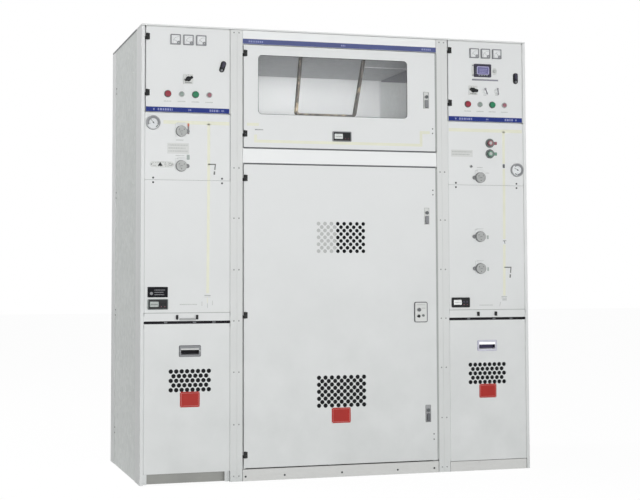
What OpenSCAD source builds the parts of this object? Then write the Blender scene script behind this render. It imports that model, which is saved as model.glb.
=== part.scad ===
// Ring main unit: a row of three medium-voltage switchgear cabinets.
// Left, a load switch cabinet. Middle, a wide metering cabinet. Right, a circuit breaker cabinet.
// Row coordinates: X from the left end, Y from the front plane backwards, Z up from the floor.

/* [Row] */
// Height from the floor to the roof
row_h = 2200; // [2150:10:2700]
// Depth from the front plane to the rear face
row_d = 950; // [780:10:1200]
// Width of each side cabinet
side_w = 470; // [460:5:580]
// Width of the middle cabinet
middle_w = 1070; // [900:10:1300]

/* [Sheet metal] */
// Thickness of the panels, posts and doors
sheet = 2; // [1.5:0.25:2.5]
// Outer radius of a bent edge
bend_r = 3; // [2.5:0.5:5]
// Seam between two fixed panels
seam = 2; // [1:0.5:4]
// Gap that hides between a plate and the wall it is screwed to
fit_gap = 0.5; // [0.2:0.1:0.8]
// Depth of a door, skin and folded edges
door_d = 20; // [16:1:26]
// Clearance of a side or window door all round
door_gap = 6; // [5:0.5:8]
// Clearance of the main door at its sides
main_gap = 7; // [5:0.5:10]
// Free space behind a closed door, up to its stop
stop_gap = 6; // [5:0.5:10]
// Width of the strip behind a post that a door or cover closes on
stop_w = 34; // [24:1:40]
// How far that strip laps behind its post
stop_lap = 12; // [6:1:12]
// Depth of the downturned edge of a roof plate
roof_lip = 8; // [5:1:20]

/* [Posts] */
// Front face of the post at each end of the row
end_face = 15; // [10:1:30]
// Front face of a side cabinet's inner post
inner_face = 33; // [20:1:50]
// Front face of the middle cabinet's posts
middle_face = 27; // [20:1:50]
// Painted side of the front corner post
front_post_d = 150; // [80:5:200]
// Painted side of the rear corner post
rear_post_d = 120; // [60:5:180]
// Width of the rear face of a corner post
rear_face = 40; // [25:5:60]
// How far the rear panels stand in from the rear face
rear_inset = 2; // [0:0.5:4]

/* [Side cabinet fronts] */
// Height of the plinth
plinth_h = 50; // [40:2:70]
// How far the left plinth stands back from the front
plinth_recess = 45; // [20:5:55]
// Height of the cover over the cable compartment
cable_cover_h = 708; // [600:10:800]
// Dark slot over the cable cover
slot_h = 11; // [6:1:20]
// Height of the sill strip over the slot
sill_h = 39; // [30:1:60]
// Height of the mechanism cover
mechanism_h = 321; // [300:5:360]
// Height of the instrument door
instrument_door_h = 410; // [380:5:460]
// Depth of the instrument compartment
instrument_d = 400; // [200:10:500]

/* [Middle cabinet front] */
// Height of the kick plate
kick_h = 56; // [40:2:80]
// Height of the header over the window door
header_h = 66; // [50:1:90]
// Height of the window door
window_door_h = 502; // [470:2:560]
// Height of the beam between the two doors
beam_h = 73; // [50:1:100]

/* [Window] */
// Margin left of the window
window_left = 73; // [50:1:120]
// Margin right of the window
window_right = 152; // [120:1:200]
// Margin under the window
window_low = 163; // [120:1:200]
// Height of the window
window_h = 293; // [200:1:300]
// Corner radius of the window
window_r = 20; // [8:1:40]
// Thickness of the window glass
glass_t = 5; // [4:0.5:8]
// How far the glass laps behind the frame
glass_lap = 16; // [10:1:25]

/* [Window compartment] */
// Underside of the ceiling, below the top of the row
ceiling_drop = 96; // [85:1:140]
// Shelf over the cable compartment, above the lower edge of the beam
shelf_rise = 38; // [20:1:60]
// Folded edge of the ceiling and the shelf
fold_h = 20; // [12:1:30]
// Width of the flat busbar
bar_w = 28; // [20:1:40]
// Thickness of the busbar
bar_t = 8; // [5:1:12]
// Front of the busbar loop behind the front plane
bar_y = 200; // [160:10:500]
// Height of the loop, from its foot to the ceiling
bar_drop = 300; // [200:5:320]
// Width of the loop's foot between its bends
bar_foot = 321; // [250:1:400]
// How far the left strand leans to the right on its way up
bar_lean = 27; // [5:1:50]
// How much wider the loop is at the ceiling
bar_spread = 26; // [0:1:60]
// Outer radius of the loop's two bends
bar_bend = 20; // [14:1:40]
// Foot of the loop from the left door edge
bar_x = 320; // [250:1:400]

/* [Base] */
// Width of the base channels
channel_w = 45; // [35:1:60]
// Wall of the base channels
channel_t = 3; // [2:0.5:5]
// Front end of the base channels behind the stop strips
channel_in = 32; // [15:1:60]
// Anchor hole radius
anchor_r = 7; // [5:0.5:9]
// Anchor hole from the outer side of its channel
anchor_in = 22; // [18:1:30]
// Anchor hole from the front and from the rear end of its channel
anchor_end = 90; // [60:5:150]

/* [Hinges] */
// Height of a hinge
hinge_h = 30; // [24:1:40]
// Radius of the hinge barrel
barrel_r = 6; // [5:0.5:8]
// Radius of the hinge pin
pin_r = 3; // [2:0.5:4]
// Running clearance round the pin
pin_fit = 0.05; // [0.02:0.01:0.1]
// Pin axis from the hinged edge of the door
pin_in = 5; // [4:0.5:8]
// Pin axis in front of the front plane
pin_out = 2; // [1:0.5:4]
// Thickness of the hinge leaf on the door
leaf_t = 3; // [2:0.5:5]
// Width of the hinge leaf on the door
leaf_w = 6; // [5:1:20]

/* [Vents] */
// Side cover vent, radius of a hole
cover_vent_r = 9; // [5:0.5:9.5]
// Side cover vent, distance between holes in a row
cover_pitch = 26.4; // [22:0.2:30]
// Side cover vent, distance between rows
cover_row = 22; // [19:0.5:26]
// Main door vent, radius of a hole
door_vent_r = 9.5; // [5:0.5:10]
// Main door vent, distance between holes in a row
door_pitch = 33.3; // [22:0.1:36]
// Main door vent, distance between rows
door_row = 17; // [14:0.5:24]

/* [Fittings] */
// Side of a panel meter
meter_w = 50; // [44:1:56]
// Height of a panel meter over the door
meter_t = 10; // [6:1:14]
// Radius of the gas gauge
gauge_r = 34; // [25:1:40]
// Height of the gas gauge over the cover
gauge_t = 16; // [10:1:22]
// Radius of the round cover over an operating shaft
shaft_r = 26; // [24:1:36]
// Height of the round cover over an operating shaft
shaft_t = 20; // [12:1:24]
// Width of a voltage display
display_w = 97; // [80:1:110]
// Height of a voltage display
display_h = 50; // [40:1:60]
// Length of a flat lever lock
lock_h = 86; // [60:1:110]
// Width of a flat lever lock
lock_w = 28; // [20:1:36]

/* [Hidden] */
$fn = 48;

// Boundaries of the cabinets along X
row_w = 2 * side_w + middle_w;
x_left = 0;
x_middle = side_w;
x_right = side_w + middle_w;
cabinet_x = [x_left, x_middle, x_right, row_w];

// Inner faces of each cabinet's two walls: end panels stand behind the posts' sheet
wall_in = [2 * sheet, sheet, sheet];
wall_out = [sheet, sheet, 2 * sheet];
function inner_x0(i) = cabinet_x[i] + wall_in[i];
function inner_x1(i) = cabinet_x[i + 1] - wall_out[i];

// Depth levels
stop_y = door_d + stop_gap;
back_y = stop_y + sheet;
floor_y1 = row_d - rear_inset - door_d - seam;

// Height levels of the side cabinets
z_top = row_h - roof_lip - seam;
z_cable = plinth_h + seam;
z_slot = z_cable + cable_cover_h;
z_sill = z_slot + slot_h;
z_main = z_sill + sill_h + seam;
z_instrument = row_h - roof_lip - door_gap - instrument_door_h;
z_mechanism = z_instrument - door_gap - mechanism_h;
main_cover_h = z_mechanism - seam - z_main;

// Height levels of the middle cabinet
z_header = z_top - header_h;
z_window_door = z_header - door_gap - window_door_h;
z_beam = z_window_door - door_gap - beam_h;
z_main_door = kick_h + door_gap;
main_door_h = z_beam - door_gap - z_main_door;
z_ceiling = row_h - ceiling_drop;
z_shelf = z_beam + shelf_rise;

// Fixed covers and doors across each cabinet
left_cover_x = end_face + seam;
right_cover_x = x_right + inner_face + seam;
cover_w = side_w - end_face - inner_face - 2 * seam;
left_door_x = end_face + door_gap;
right_door_x = x_right + inner_face + door_gap;
instrument_door_w = side_w - end_face - inner_face - 2 * door_gap;
window_door_x = x_middle + middle_face + door_gap;
window_door_w = middle_w - 2 * middle_face - 2 * door_gap;
main_door_x = x_middle + middle_face + main_gap;
main_door_w = middle_w - 2 * middle_face - 2 * main_gap;
window_w = window_door_w - window_left - window_right;

// Heights of the hinges over the lower edge of each door
instrument_hinges = [92, instrument_door_h - 47];
window_hinges = [66, window_door_h - 40];
main_hinges = [63, main_door_h / 2, main_door_h - 67];
hinge_room = 2;
knuckle_gap = 0.5;
web_t = 4;
leaf_x = barrel_r + 1;
notch_w = pin_in + leaf_x;

// Laps behind seams and posts, and how far the stop strips reach past the posts
end_lap = 10;
rail_lap = 20;
stop_reach = stop_w - stop_lap;

// Vents: holes in the longer rows, and number of rows
vent_columns = 8;
cover_rows = 5;
door_rows = 9;
z_vent = z_cable + 437;
low_vent = 356;
high_vent = 355;
door_vent_x = main_door_w / 2 - 5;

// Centre lines of the cable covers' vents and pulls
left_axis = side_w / 2 + 4;
right_axis = x_right + side_w / 2 + 4;

// Flush pulls
pull_w = 92;
pull_h = 40;
pull_rim = 7;
pull_rim_t = 2;
pull_r = 5;
pull_d = 24;
pull_lip = 14;
z_pull = z_cable + 577;

// Sill latches
latch_pitch = 97;
latch_w = 10;
latch_h = 22;
latch_out = 12;
latch_off = 15;

// Pull bar between the left sill's latches, from the lower left corner of the sill strip
sill_bar_at = [172, 7];
sill_bar_w = 77;
sill_bar_h = 6;
sill_bar_r = 2.5;
sill_bar_out = 4;

// Corners and backing plates of small fittings, and corners of their sunk faces
corner_r = 3;
face_r = 1.5;
plate_t = 4;

// Gas gauges, from the lower left corner of the mechanism cover
left_gauge = [39, 273];
right_gauge = [380, 80];
gauge_rim = 4;
gauge_recess = 3;
gauge_bevel = 2;

// Shaft covers, from the lower left corner of the mechanism cover and from the top of the main cover
left_shafts = [[176, 235], [176, 67]];
right_shaft = [173, 37];
main_shafts = [[170, -263], [170, -426]];
shaft_plate_rise = 14;
shaft_bevel = 2;
shaft_rim = 5;
shaft_sunk = 2;
shaft_plug_r = 9;
hasp_w = 38;
hasp_t = 4;
hasp_out = 10;
hasp_rise = 8;
lug_r = 9;
lug_hole_r = 4;
lug_out = 10;
lug_off = 4;

// Position indicator, from the lower left corner of the mechanism cover
indicator_at = [25, 59];
indicator_w = 116;
indicator_h = 29;

// Pushers of the circuit breaker, from the lower left corner of the mechanism cover
pusher_x = 230;
pushers_z = [161, 216];
pusher_r = 14;
pusher_out = 16;
guard_r = 23;
guard_hole_r = 16.5;
guard_floor = 2;
guard_out = 6;
guard_lug_w = 16;
guard_lug_reach = 38;

// Displays: from the lower left corners of the main covers and of the window door
left_display = [17, 16];
right_display = [12, 12];
window_display = [454, 38];
display_t = 8;
display_r = 5;
display_rim = 4;
display_sunk = 1.5;

// Instrument door fittings, from the door's lower left corner
meters_x = 206;
meters_pitch = 63;
meters_drop = 57;
meter_rim = 3.5;
meter_sunk = 2;
buttons_x = 106;
buttons_pitch = 68;
buttons_z = 88;
button_r = 14;
button_out = 9;
large_button_r = 17;
large_button_out = 14;
button_rim = 4;
button_rim_t = 5;
left_rotary = [206, 163];
right_rotary = [136, 161];
rotary_w = 48;
rotary_r = 12;
rotary_t = 10;
grip_l = 38;
grip_w = 12;
grip_out = 26;
left_grip_turn = -25;
right_grip_turn = 15;
key_switches = [203, 269];
key_switch_z = 157;
key_switch_r = 13;
key_switch_out = 16;
door_lock_w = 25;
door_lock_h = 56;
door_lock_t = 6;
door_lock_r = 12;
handle_w = 16;
handle_h = 34;
handle_r = 5;
handle_low = -9;
handle_out = 15;
handle_key = -19;
handle_key_r = 6.5;
handle_key_out = 11;
left_lock = [376, 229];
left_lock_turn = 17;
right_lock = [374, 230];

// Protection relay with its reset button and the ledge under it
relay_at = [142, 231];
relay_w = 92;
relay_h = 66;
relay_t = 12;
relay_rim = 5;
relay_sunk = 2;
reset_at = [258, 263];
reset_r = 9;
reset_out = 8;
ledge_at = [132, 213];
ledge_w = 144;
ledge_h = 6;
ledge_t = 3;

// Lever locks of the wide doors, from the door's free edge and its lower or upper edge
lock_inset = 51;
low_lock = 233;
high_lock = 245;
window_lock = 260;
lock_rim = 3;
lock_sunk = 2;
lever_out = 10;
lever_w = 17;
lever_l = 37;
lever_low = 7;
lever_key_r = 8.5;
lever_key_rise = 17;

// Interlock plate beside the main door's free edge, from the middle of its height
interlock_w = 70;
interlock_h = 102;
interlock_inset = 122;
interlock_drop = 45;
interlock_t = 6;
interlock_r = 10;
interlock_rim = 4.5;
interlock_sunk = 1;
barrel_at = [24, 63];
lock_barrel_r = 9;
lock_barrel_out = 14;

// Flat facets along each bend of the busbar
bend_steps = 6;

// Paint and other colours
paint = [0.86, 0.87, 0.86];
zinc = [0.72, 0.73, 0.73];
dark = [0.08, 0.08, 0.09];
steel = [0.62, 0.62, 0.61];

// ---------------------------------------------------------------- helpers

// Carries row coordinates to the part's frame: origin on the floor under the middle of the row.
module place() {
    translate([-row_w / 2, -row_d / 2, 0])
        children();
}

// A box from one corner to the opposite one.
module span(a, b) {
    translate(a)
        cube(b - a);
}

// A rectangle with round corners, from its lower left corner.
module round_rect(w, h, r) {
    translate([r, 0])
        square([w - 2 * r, h]);
    translate([0, r])
        square([w, h - 2 * r]);
    for (x = [r, w - r], y = [r, h - r])
        translate([x, y])
            circle(r);
}

// Stands a flat outline up facing the front: it is t thick, from depth y backwards.
module upright(y, t) {
    translate([0, y + t, 0])
        rotate([90, 0, 0])
            linear_extrude(t)
                children();
}

// A round fitting on the front plane, standing out by t.
module disc(x, z, r, t) {
    translate([x, 0, z])
        rotate([90, 0, 0])
            cylinder(h = t, r = r);
}

// The same with a bevelled front edge.
module bevelled_disc(x, z, r, t, bevel) {
    disc(x, z, r, t - bevel);
    translate([x, bevel - t, z])
        rotate([90, 0, 0])
            cylinder(h = bevel, r1 = r, r2 = r - bevel);
}

// A flat case on the front plane, t thick, its face sunk behind a rim.
module case(at, w, h, t, r, rim, sunk) {
    difference() {
        upright(-t, t)
            translate(at)
                round_rect(w, h, r);
        upright(-t - 1, sunk + 1)
            translate(at + [rim, rim])
                round_rect(w - 2 * rim, h - 2 * rim, face_r);
    }
}

// A folded sheet panel: skin at the front, edges bent back by d.
module tray(w, h, d) {
    difference() {
        linear_extrude(h) {
            translate([bend_r, 0])
                square([w - 2 * bend_r, d]);
            translate([0, bend_r])
                square([w, d - bend_r]);
            for (x = [bend_r, w - bend_r])
                translate([x, bend_r])
                    circle(bend_r);
        }
        span([sheet, sheet, sheet], [w - sheet, d + 1, h - sheet]);
    }
}

// Staggered vent holes about a centre: odd rows hold one hole fewer.
module vent_holes(x, z, columns, rows, pitch, row_pitch, r) {
    for (row = [0 : rows - 1], c = [0 : columns - 1 - row % 2])
        translate([
            x + (c - (columns - 1 - row % 2) / 2) * pitch,
            z + (row - (rows - 1) / 2) * row_pitch
        ])
            circle(r);
}

// ---------------------------------------------------------------- frame

// Plan of a front post: face w wide, outer side d deep and shifted in by s, inner edge bent back.
module post_plan(w, d, s = 0) {
    polygon([
        [s, 0], [w, 0], [w, stop_y], [w - sheet, stop_y],
        [w - sheet, sheet], [s + sheet, sheet], [s + sheet, d], [s, d]
    ]);
}

module rear_post_plan() {
    y0 = row_d - rear_post_d;
    polygon([
        [0, y0], [sheet, y0], [sheet, row_d - sheet], [rear_face, row_d - sheet],
        [rear_face, row_d], [0, row_d]
    ]);
}

module corner_posts() {
    color(paint) place()
        for (side = [0, 1])
            translate([side * row_w, 0, 0])
                mirror([side, 0, 0])
                    linear_extrude(z_top) {
                        post_plan(end_face, front_post_d);
                        rear_post_plan();
                    }
}

module inner_posts() {
    color(paint) place()
        for (x = [x_middle, x_right], side = [0, 1])
            translate([x, 0, 0])
                mirror([side, 0, 0])
                    linear_extrude(z_top)
                        post_plan(
                            (x == x_middle) == (side == 0) ? middle_face : inner_face,
                            back_y, fit_gap / 2
                        );
}

module end_panels() {
    color(zinc) place()
        for (x = [sheet, row_w - 2 * sheet])
            span(
                [x, front_post_d - end_lap, 0],
                [x + sheet, row_d - rear_post_d + end_lap, row_h - sheet]
            );
}

module partitions() {
    color(zinc) place()
        for (x = [x_middle, x_right])
            span([x - sheet, back_y, 0], [x + sheet, row_d - sheet, row_h - sheet]);
}

module roof_plates() {
    color(paint) place()
        for (i = [0 : 2]) {
            x0 = cabinet_x[i] + (i == 0 ? 0 : fit_gap / 2);
            x1 = cabinet_x[i + 1] - (i == 2 ? 0 : fit_gap / 2);
            difference() {
                span([x0, 0, row_h - roof_lip], [x1, row_d, row_h]);
                span(
                    [x0 + (i == 0 ? sheet : -1), sheet, row_h - roof_lip - 1],
                    [x1 - (i == 2 ? sheet : -1), row_d - sheet, row_h - sheet]
                );
            }
        }
}

module rear_panels() {
    color(paint) place()
        for (i = [0 : 2]) {
            x0 = i == 0 ? rear_face + seam : inner_x0(i) + fit_gap;
            x1 = i == 2 ? row_w - rear_face - seam : inner_x1(i) - fit_gap;
            translate([x1, row_d - rear_inset, seam])
                rotate([0, 0, 180])
                    tray(x1 - x0, z_top - seam, door_d);
        }
}

module base_channels() {
    y0 = back_y + channel_in;
    y1 = row_d - rear_face;
    color(zinc) place()
        for (i = [0 : 2], side = [0, 1])
            translate([side == 0 ? inner_x0(i) + fit_gap : inner_x1(i) - fit_gap, 0, 0])
                mirror([side, 0, 0])
                    difference() {
                        span([0, y0, 0], [channel_w, y1, plinth_h]);
                        span([channel_t, y0 - 1, channel_t], [channel_w + 1, y1 + 1, plinth_h - channel_t]);
                        for (y = [y0 + anchor_end, y1 - anchor_end])
                            translate([anchor_in, y, -1])
                                cylinder(h = channel_t + 2, r = anchor_r);
                    }
}

module floor_plates() {
    color(zinc) place()
        for (i = [0 : 2])
            span(
                [inner_x0(i) + fit_gap, back_y + seam, plinth_h],
                [inner_x1(i) - fit_gap, floor_y1, plinth_h + sheet]
            );
}

module plinth_plates() {
    x_kick = x_middle + middle_face + seam;
    side_room = sheet + fit_gap;
    color(paint) place() {
        span(
            [side_room, plinth_recess, 0],
            [x_middle - fit_gap / 2 - side_room, plinth_recess + sheet, plinth_h - fit_gap]
        );
        translate([x_kick, 0, 0])
            tray(x_right - middle_face - seam - x_kick, kick_h, stop_y);
        translate([right_cover_x, 0, 0])
            tray(cover_w, plinth_h - fit_gap, stop_y);
    }
}

// Strips that the doors and covers close on: upright behind each post, level behind each seam.
module backing_strips() {
    side_x = [end_face, x_right + inner_face];
    side_room = side_w - end_face - inner_face;
    middle_room = middle_w - 2 * middle_face;
    seams_z = [
        [z_main - seam - rail_lap, z_main + rail_lap],
        [z_mechanism - seam - rail_lap, z_mechanism + rail_lap],
        [z_instrument - door_gap - rail_lap, z_instrument + rail_lap],
        [z_top - rail_lap, z_top]
    ];
    color(paint) place() {
        for (post = [[side_x[0], side_room], [x_middle + middle_face, middle_room], [side_x[1], side_room]])
            for (x = [post[0] - stop_lap, post[0] + post[1] + stop_lap - stop_w])
                span([x, stop_y, 0], [x + stop_w, back_y, z_top]);
        for (x = side_x, z = seams_z)
            span(
                [x + stop_reach + fit_gap, stop_y, z[0]],
                [x + side_room - stop_reach - fit_gap, back_y, z[1]]
            );
    }
}

// Header over the window door and beam under it, each a folded panel with stop lips behind.
module middle_rails() {
    x0 = x_middle + middle_face;
    x1 = x_right - middle_face;
    color(paint) place()
        for (z = [[z_header, z_top, z_top], [z_beam, z_beam + beam_h, z_beam + beam_h + rail_lap]]) {
            translate([x0 + seam / 2, 0, z[0]])
                tray(x1 - x0 - seam, z[1] - z[0], stop_y);
            span(
                [x0 + stop_reach + fit_gap, stop_y, z[0] - rail_lap],
                [x1 - stop_reach - fit_gap, back_y, z[2]]
            );
        }
}

// Ceiling and shelf of the window compartment, with edges folded up and down.
module compartment_plates() {
    x0 = inner_x0(1) + fit_gap;
    x1 = inner_x1(1) - fit_gap;
    color(zinc) place()
        for (plate = [[z_ceiling, 1], [z_shelf, -1]])
            translate([0, 0, plate[0]])
                mirror([0, 0, plate[1] > 0 ? 0 : 1])
                    difference() {
                        span([x0, back_y, 0], [x1, floor_y1, fold_h]);
                        span([x0 + sheet, back_y + sheet, sheet], [x1 - sheet, floor_y1 - sheet, fold_h + 1]);
                    }
}

// Open-fronted compartment behind an instrument door.
module instrument_box(x0, x1) {
    z0 = z_instrument - door_gap - sheet;
    color(zinc) place()
        difference() {
            span([x0, back_y, z0], [x1, back_y + instrument_d, z_top]);
            span(
                [x0 + sheet, back_y - 1, z0 + sheet],
                [x1 - sheet, back_y + instrument_d - sheet, z_top - sheet]
            );
        }
}

module left_instrument_box() {
    instrument_box(inner_x0(0) + fit_gap, inner_x1(0) - fit_gap);
}

module right_instrument_box() {
    instrument_box(inner_x0(2) + fit_gap, inner_x1(2) - fit_gap);
}

// ---------------------------------------------------------------- fixed covers

// One cover on each side cabinet, between the given heights.
module covers(z, h) {
    color(paint) place()
        for (x = [left_cover_x, right_cover_x])
            translate([x, 0, z])
                tray(cover_w, h, stop_y);
}

module mechanism_covers() covers(z_mechanism, mechanism_h);
module main_covers() covers(z_main, main_cover_h);
module sill_strips() covers(z_sill, sill_h);

// Cover of a cable compartment, with its vent and the cut-out for the pull.
module cable_cover(x, axis) {
    color(paint) place()
        difference() {
            translate([x, 0, z_cable])
                tray(cover_w, cable_cover_h, stop_y);
            upright(-1, sheet + 2) {
                vent_holes(axis, z_vent, vent_columns, cover_rows, cover_pitch, cover_row, cover_vent_r);
                translate([axis - pull_w / 2, z_pull - pull_h / 2])
                    square([pull_w, pull_h]);
            }
        }
}

module left_cable_cover() cable_cover(left_cover_x, left_axis);
module right_cable_cover() cable_cover(right_cover_x, right_axis);

// Flush pulls: a bezel on the cover, a cup behind it, and a lip over the finger space.
module cover_pulls() {
    color(steel) place()
        for (x = [left_axis, right_axis])
            difference() {
                union() {
                    upright(-pull_rim_t, pull_rim_t)
                        translate([x - pull_w / 2 - pull_rim, z_pull - pull_h / 2 - pull_rim])
                            round_rect(pull_w + 2 * pull_rim, pull_h + 2 * pull_rim, pull_r);
                    span(
                        [x - pull_w / 2 + fit_gap, -pull_rim_t, z_pull - pull_h / 2 + fit_gap],
                        [x + pull_w / 2 - fit_gap, pull_d, z_pull + pull_h / 2 - fit_gap]
                    );
                }
                span(
                    [x - pull_w / 2 + sheet, -pull_rim_t - 1, z_pull - pull_h / 2 + sheet],
                    [x + pull_w / 2 - sheet, pull_d - sheet, z_pull + pull_h / 2 - pull_lip]
                );
                span(
                    [x - pull_w / 2 + sheet, sheet, z_pull - pull_h / 2 + sheet],
                    [x + pull_w / 2 - sheet, pull_d - sheet, z_pull + pull_h / 2 - sheet]
                );
            }
}

// A pair of latches on each sill, which hold the cable cover from above, and the left sill's pull bar.
module sill_latches() {
    color(dark) place() {
        for (x = [left_axis - latch_off, right_axis], s = [-1, 1])
            upright(-latch_out, latch_out)
                translate([x + s * latch_pitch / 2 - latch_w / 2, z_sill + sill_h / 2 - latch_h / 2])
                    round_rect(latch_w, latch_h, corner_r);
        upright(-sill_bar_out, sill_bar_out)
            translate([left_cover_x, z_sill] + sill_bar_at)
                round_rect(sill_bar_w, sill_bar_h, sill_bar_r);
    }
}

// ---------------------------------------------------------------- fittings on the fixed covers

module gas_gauges() {
    color(steel) place()
        for (at = [
            [left_cover_x + left_gauge[0], z_mechanism + left_gauge[1]],
            [right_cover_x + right_gauge[0], z_mechanism + right_gauge[1]]
        ])
            difference() {
                bevelled_disc(at[0], at[1], gauge_r, gauge_t, gauge_bevel);
                translate([0, gauge_recess - gauge_t, 0])
                    disc(at[0], at[1], gauge_r - gauge_rim, gauge_recess + 1);
            }
}

// Round cover over an operating shaft, on a base plate: a sunk face round its plug, a hasp over it
// and a padlock lug at one side.
module shaft_cover(at, side) {
    x = at[0];
    z = at[1];
    z_hasp = z + shaft_r + hasp_rise;
    difference() {
        union() {
            upright(-plate_t, plate_t)
                translate([x - shaft_r, z - shaft_r])
                    round_rect(2 * shaft_r, 2 * shaft_r + shaft_plate_rise, corner_r);
            bevelled_disc(x, z, shaft_r, shaft_t, shaft_bevel);
            span([x - hasp_w / 2, -plate_t - hasp_out, z_hasp], [x + hasp_w / 2, 0, z_hasp + hasp_t]);
            disc(x + side * (shaft_r + lug_off), z, lug_r, lug_out);
        }
        translate([0, shaft_sunk - shaft_t, 0])
            disc(x, z, shaft_r - shaft_rim, shaft_sunk + 1);
        translate([0, 1, 0])
            disc(x + side * (shaft_r + lug_off), z, lug_hole_r, lug_out + 2);
    }
    disc(x, z, shaft_plug_r, shaft_t);
}

module shaft_covers() {
    color(steel) place() {
        for (at = left_shafts)
            shaft_cover([left_cover_x, z_mechanism] + at, 1);
        shaft_cover([right_cover_x, z_mechanism] + right_shaft, -1);
        for (at = main_shafts)
            shaft_cover([right_cover_x, z_main + main_cover_h] + at, -1);
    }
}

module position_indicator() {
    color(steel) place()
        upright(-plate_t, plate_t)
            translate([left_cover_x, z_mechanism] + indicator_at)
                round_rect(indicator_w, indicator_h, indicator_h / 2 - 0.5);
}

// Red and green pushers of the circuit breaker, each in a guard ring with a lug.
module switching_buttons() {
    x = right_cover_x + pusher_x;
    color("firebrick") place()
        for (z = pushers_z) {
            difference() {
                union() {
                    disc(x, z_mechanism + z, guard_r, guard_out);
                    span(
                        [x, -guard_out, z_mechanism + z - guard_lug_w / 2],
                        [x + guard_lug_reach, 0, z_mechanism + z + guard_lug_w / 2]
                    );
                }
                translate([0, -guard_floor, 0])
                    disc(x, z_mechanism + z, guard_hole_r, guard_out);
            }
            disc(x, z_mechanism + z, pusher_r, pusher_out);
        }
}

module display(at) {
    case(at, display_w, display_h, display_t, display_r, display_rim, display_sunk);
}

module voltage_displays() {
    color(dark) place() {
        display([left_cover_x, z_main] + left_display);
        display([right_cover_x, z_main] + right_display);
    }
}

// ---------------------------------------------------------------- hinges

// Fixed half of a hinge at its pin: lower knuckle, web to the post and the pin.
module hinge_lug(gap) {
    reach = pin_in + gap;
    translate([0, 0, -hinge_h / 2])
        cylinder(h = hinge_h / 2 - knuckle_gap, r = barrel_r);
    translate([-reach, pin_out, -hinge_h / 2])
        cube([reach, web_t, hinge_h / 2 - knuckle_gap]);
    translate([0, 0, -hinge_h / 2])
        cylinder(h = hinge_h, r = pin_r);
}

// Moving half: upper knuckle round the pin and a leaf on the face of the door.
module hinge_leaf() {
    difference() {
        union() {
            translate([0, 0, knuckle_gap])
                cylinder(h = hinge_h / 2 - knuckle_gap, r = barrel_r);
            span([0, pin_out - leaf_t, knuckle_gap], [leaf_x + 1, pin_out, hinge_h / 2]);
            span([leaf_x, pin_out - leaf_t, -hinge_h / 2], [leaf_x + leaf_w, pin_out, hinge_h / 2]);
        }
        translate([0, 0, -hinge_h])
            cylinder(h = 2 * hinge_h, r = pin_r + pin_fit);
    }
}

// Puts a hinge part at every hinge of a door whose lower left corner is at x, z.
module at_hinges(x, z, heights) {
    color(dark) place()
        for (h = heights)
            translate([x + pin_in, -pin_out, z + h])
                children();
}

module hinge_lugs() {
    at_hinges(left_door_x, z_instrument, instrument_hinges)
        hinge_lug(door_gap);
    at_hinges(right_door_x, z_instrument, instrument_hinges)
        hinge_lug(door_gap);
    at_hinges(window_door_x, z_window_door, window_hinges)
        hinge_lug(door_gap);
    at_hinges(main_door_x, z_main_door, main_hinges)
        hinge_lug(main_gap);
}

module left_door_hinges() at_hinges(left_door_x, z_instrument, instrument_hinges) hinge_leaf();
module right_door_hinges() at_hinges(right_door_x, z_instrument, instrument_hinges) hinge_leaf();
module window_door_hinges() at_hinges(window_door_x, z_window_door, window_hinges) hinge_leaf();
module main_door_hinges() at_hinges(main_door_x, z_main_door, main_hinges) hinge_leaf();

// ---------------------------------------------------------------- doors

// A door with notches for its hinges, its lower left corner at the origin.
module door_blank(w, h, hinges) {
    difference() {
        tray(w, h, door_d);
        for (z = hinges)
            span(
                [-1, -1, z - hinge_h / 2 - hinge_room],
                [notch_w, door_d + 1, z + hinge_h / 2 + hinge_room]
            );
    }
}

module instrument_door(x) {
    color(paint) place()
        translate([x, 0, z_instrument])
            door_blank(instrument_door_w, instrument_door_h, instrument_hinges);
}

module left_instrument_door() instrument_door(left_door_x);
module right_instrument_door() instrument_door(right_door_x);

module window_door() {
    color(paint) place()
        translate([window_door_x, 0, z_window_door])
            difference() {
                door_blank(window_door_w, window_door_h, window_hinges);
                upright(-1, sheet + 2)
                    translate([window_left, window_low])
                        round_rect(window_w, window_h, window_r);
            }
}

module window_glass() {
    color([0.8, 0.9, 0.92, 0.3]) place()
        translate([window_door_x, 0, z_window_door])
            upright(sheet, glass_t)
                translate([window_left - glass_lap, window_low - glass_lap])
                    square([window_w + 2 * glass_lap, window_h + 2 * glass_lap]);
}

module main_door() {
    color(paint) place()
        translate([main_door_x, 0, z_main_door])
            difference() {
                door_blank(main_door_w, main_door_h, main_hinges);
                upright(-1, sheet + 2)
                    for (z = [low_vent, main_door_h - high_vent])
                        vent_holes(door_vent_x, z, vent_columns, door_rows, door_pitch, door_row, door_vent_r);
            }
}

// ---------------------------------------------------------------- fittings on the doors

// Row of three panel meters near the top of an instrument door.
module meters(x) {
    color(dark) place()
        for (i = [-1 : 1])
            case(
                [
                    x + meters_x + i * meters_pitch - meter_w / 2,
                    z_instrument + instrument_door_h - meters_drop - meter_w / 2
                ],
                meter_w, meter_w, meter_t, corner_r, meter_rim, meter_sunk
            );
}

module left_meters() meters(left_door_x);
module right_meters() meters(right_door_x);

// Rotary switch: square plate, round collar and a wing grip.
module rotary_switch(at, turn) {
    upright(-plate_t, plate_t)
        translate(at - [rotary_w, rotary_w] / 2)
            round_rect(rotary_w, rotary_w, corner_r);
    disc(at[0], at[1], rotary_r, rotary_t);
    translate([at[0], 0, at[1]])
        rotate([0, turn, 0])
            span([-grip_l / 2, -grip_out, -grip_w / 2], [grip_l / 2, -plate_t, grip_w / 2]);
}

// Lamp or push button: bezel ring and a head.
module button(at, r, out) {
    disc(at[0], at[1], r, button_rim_t);
    disc(at[0], at[1], r - button_rim, out);
}

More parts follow.
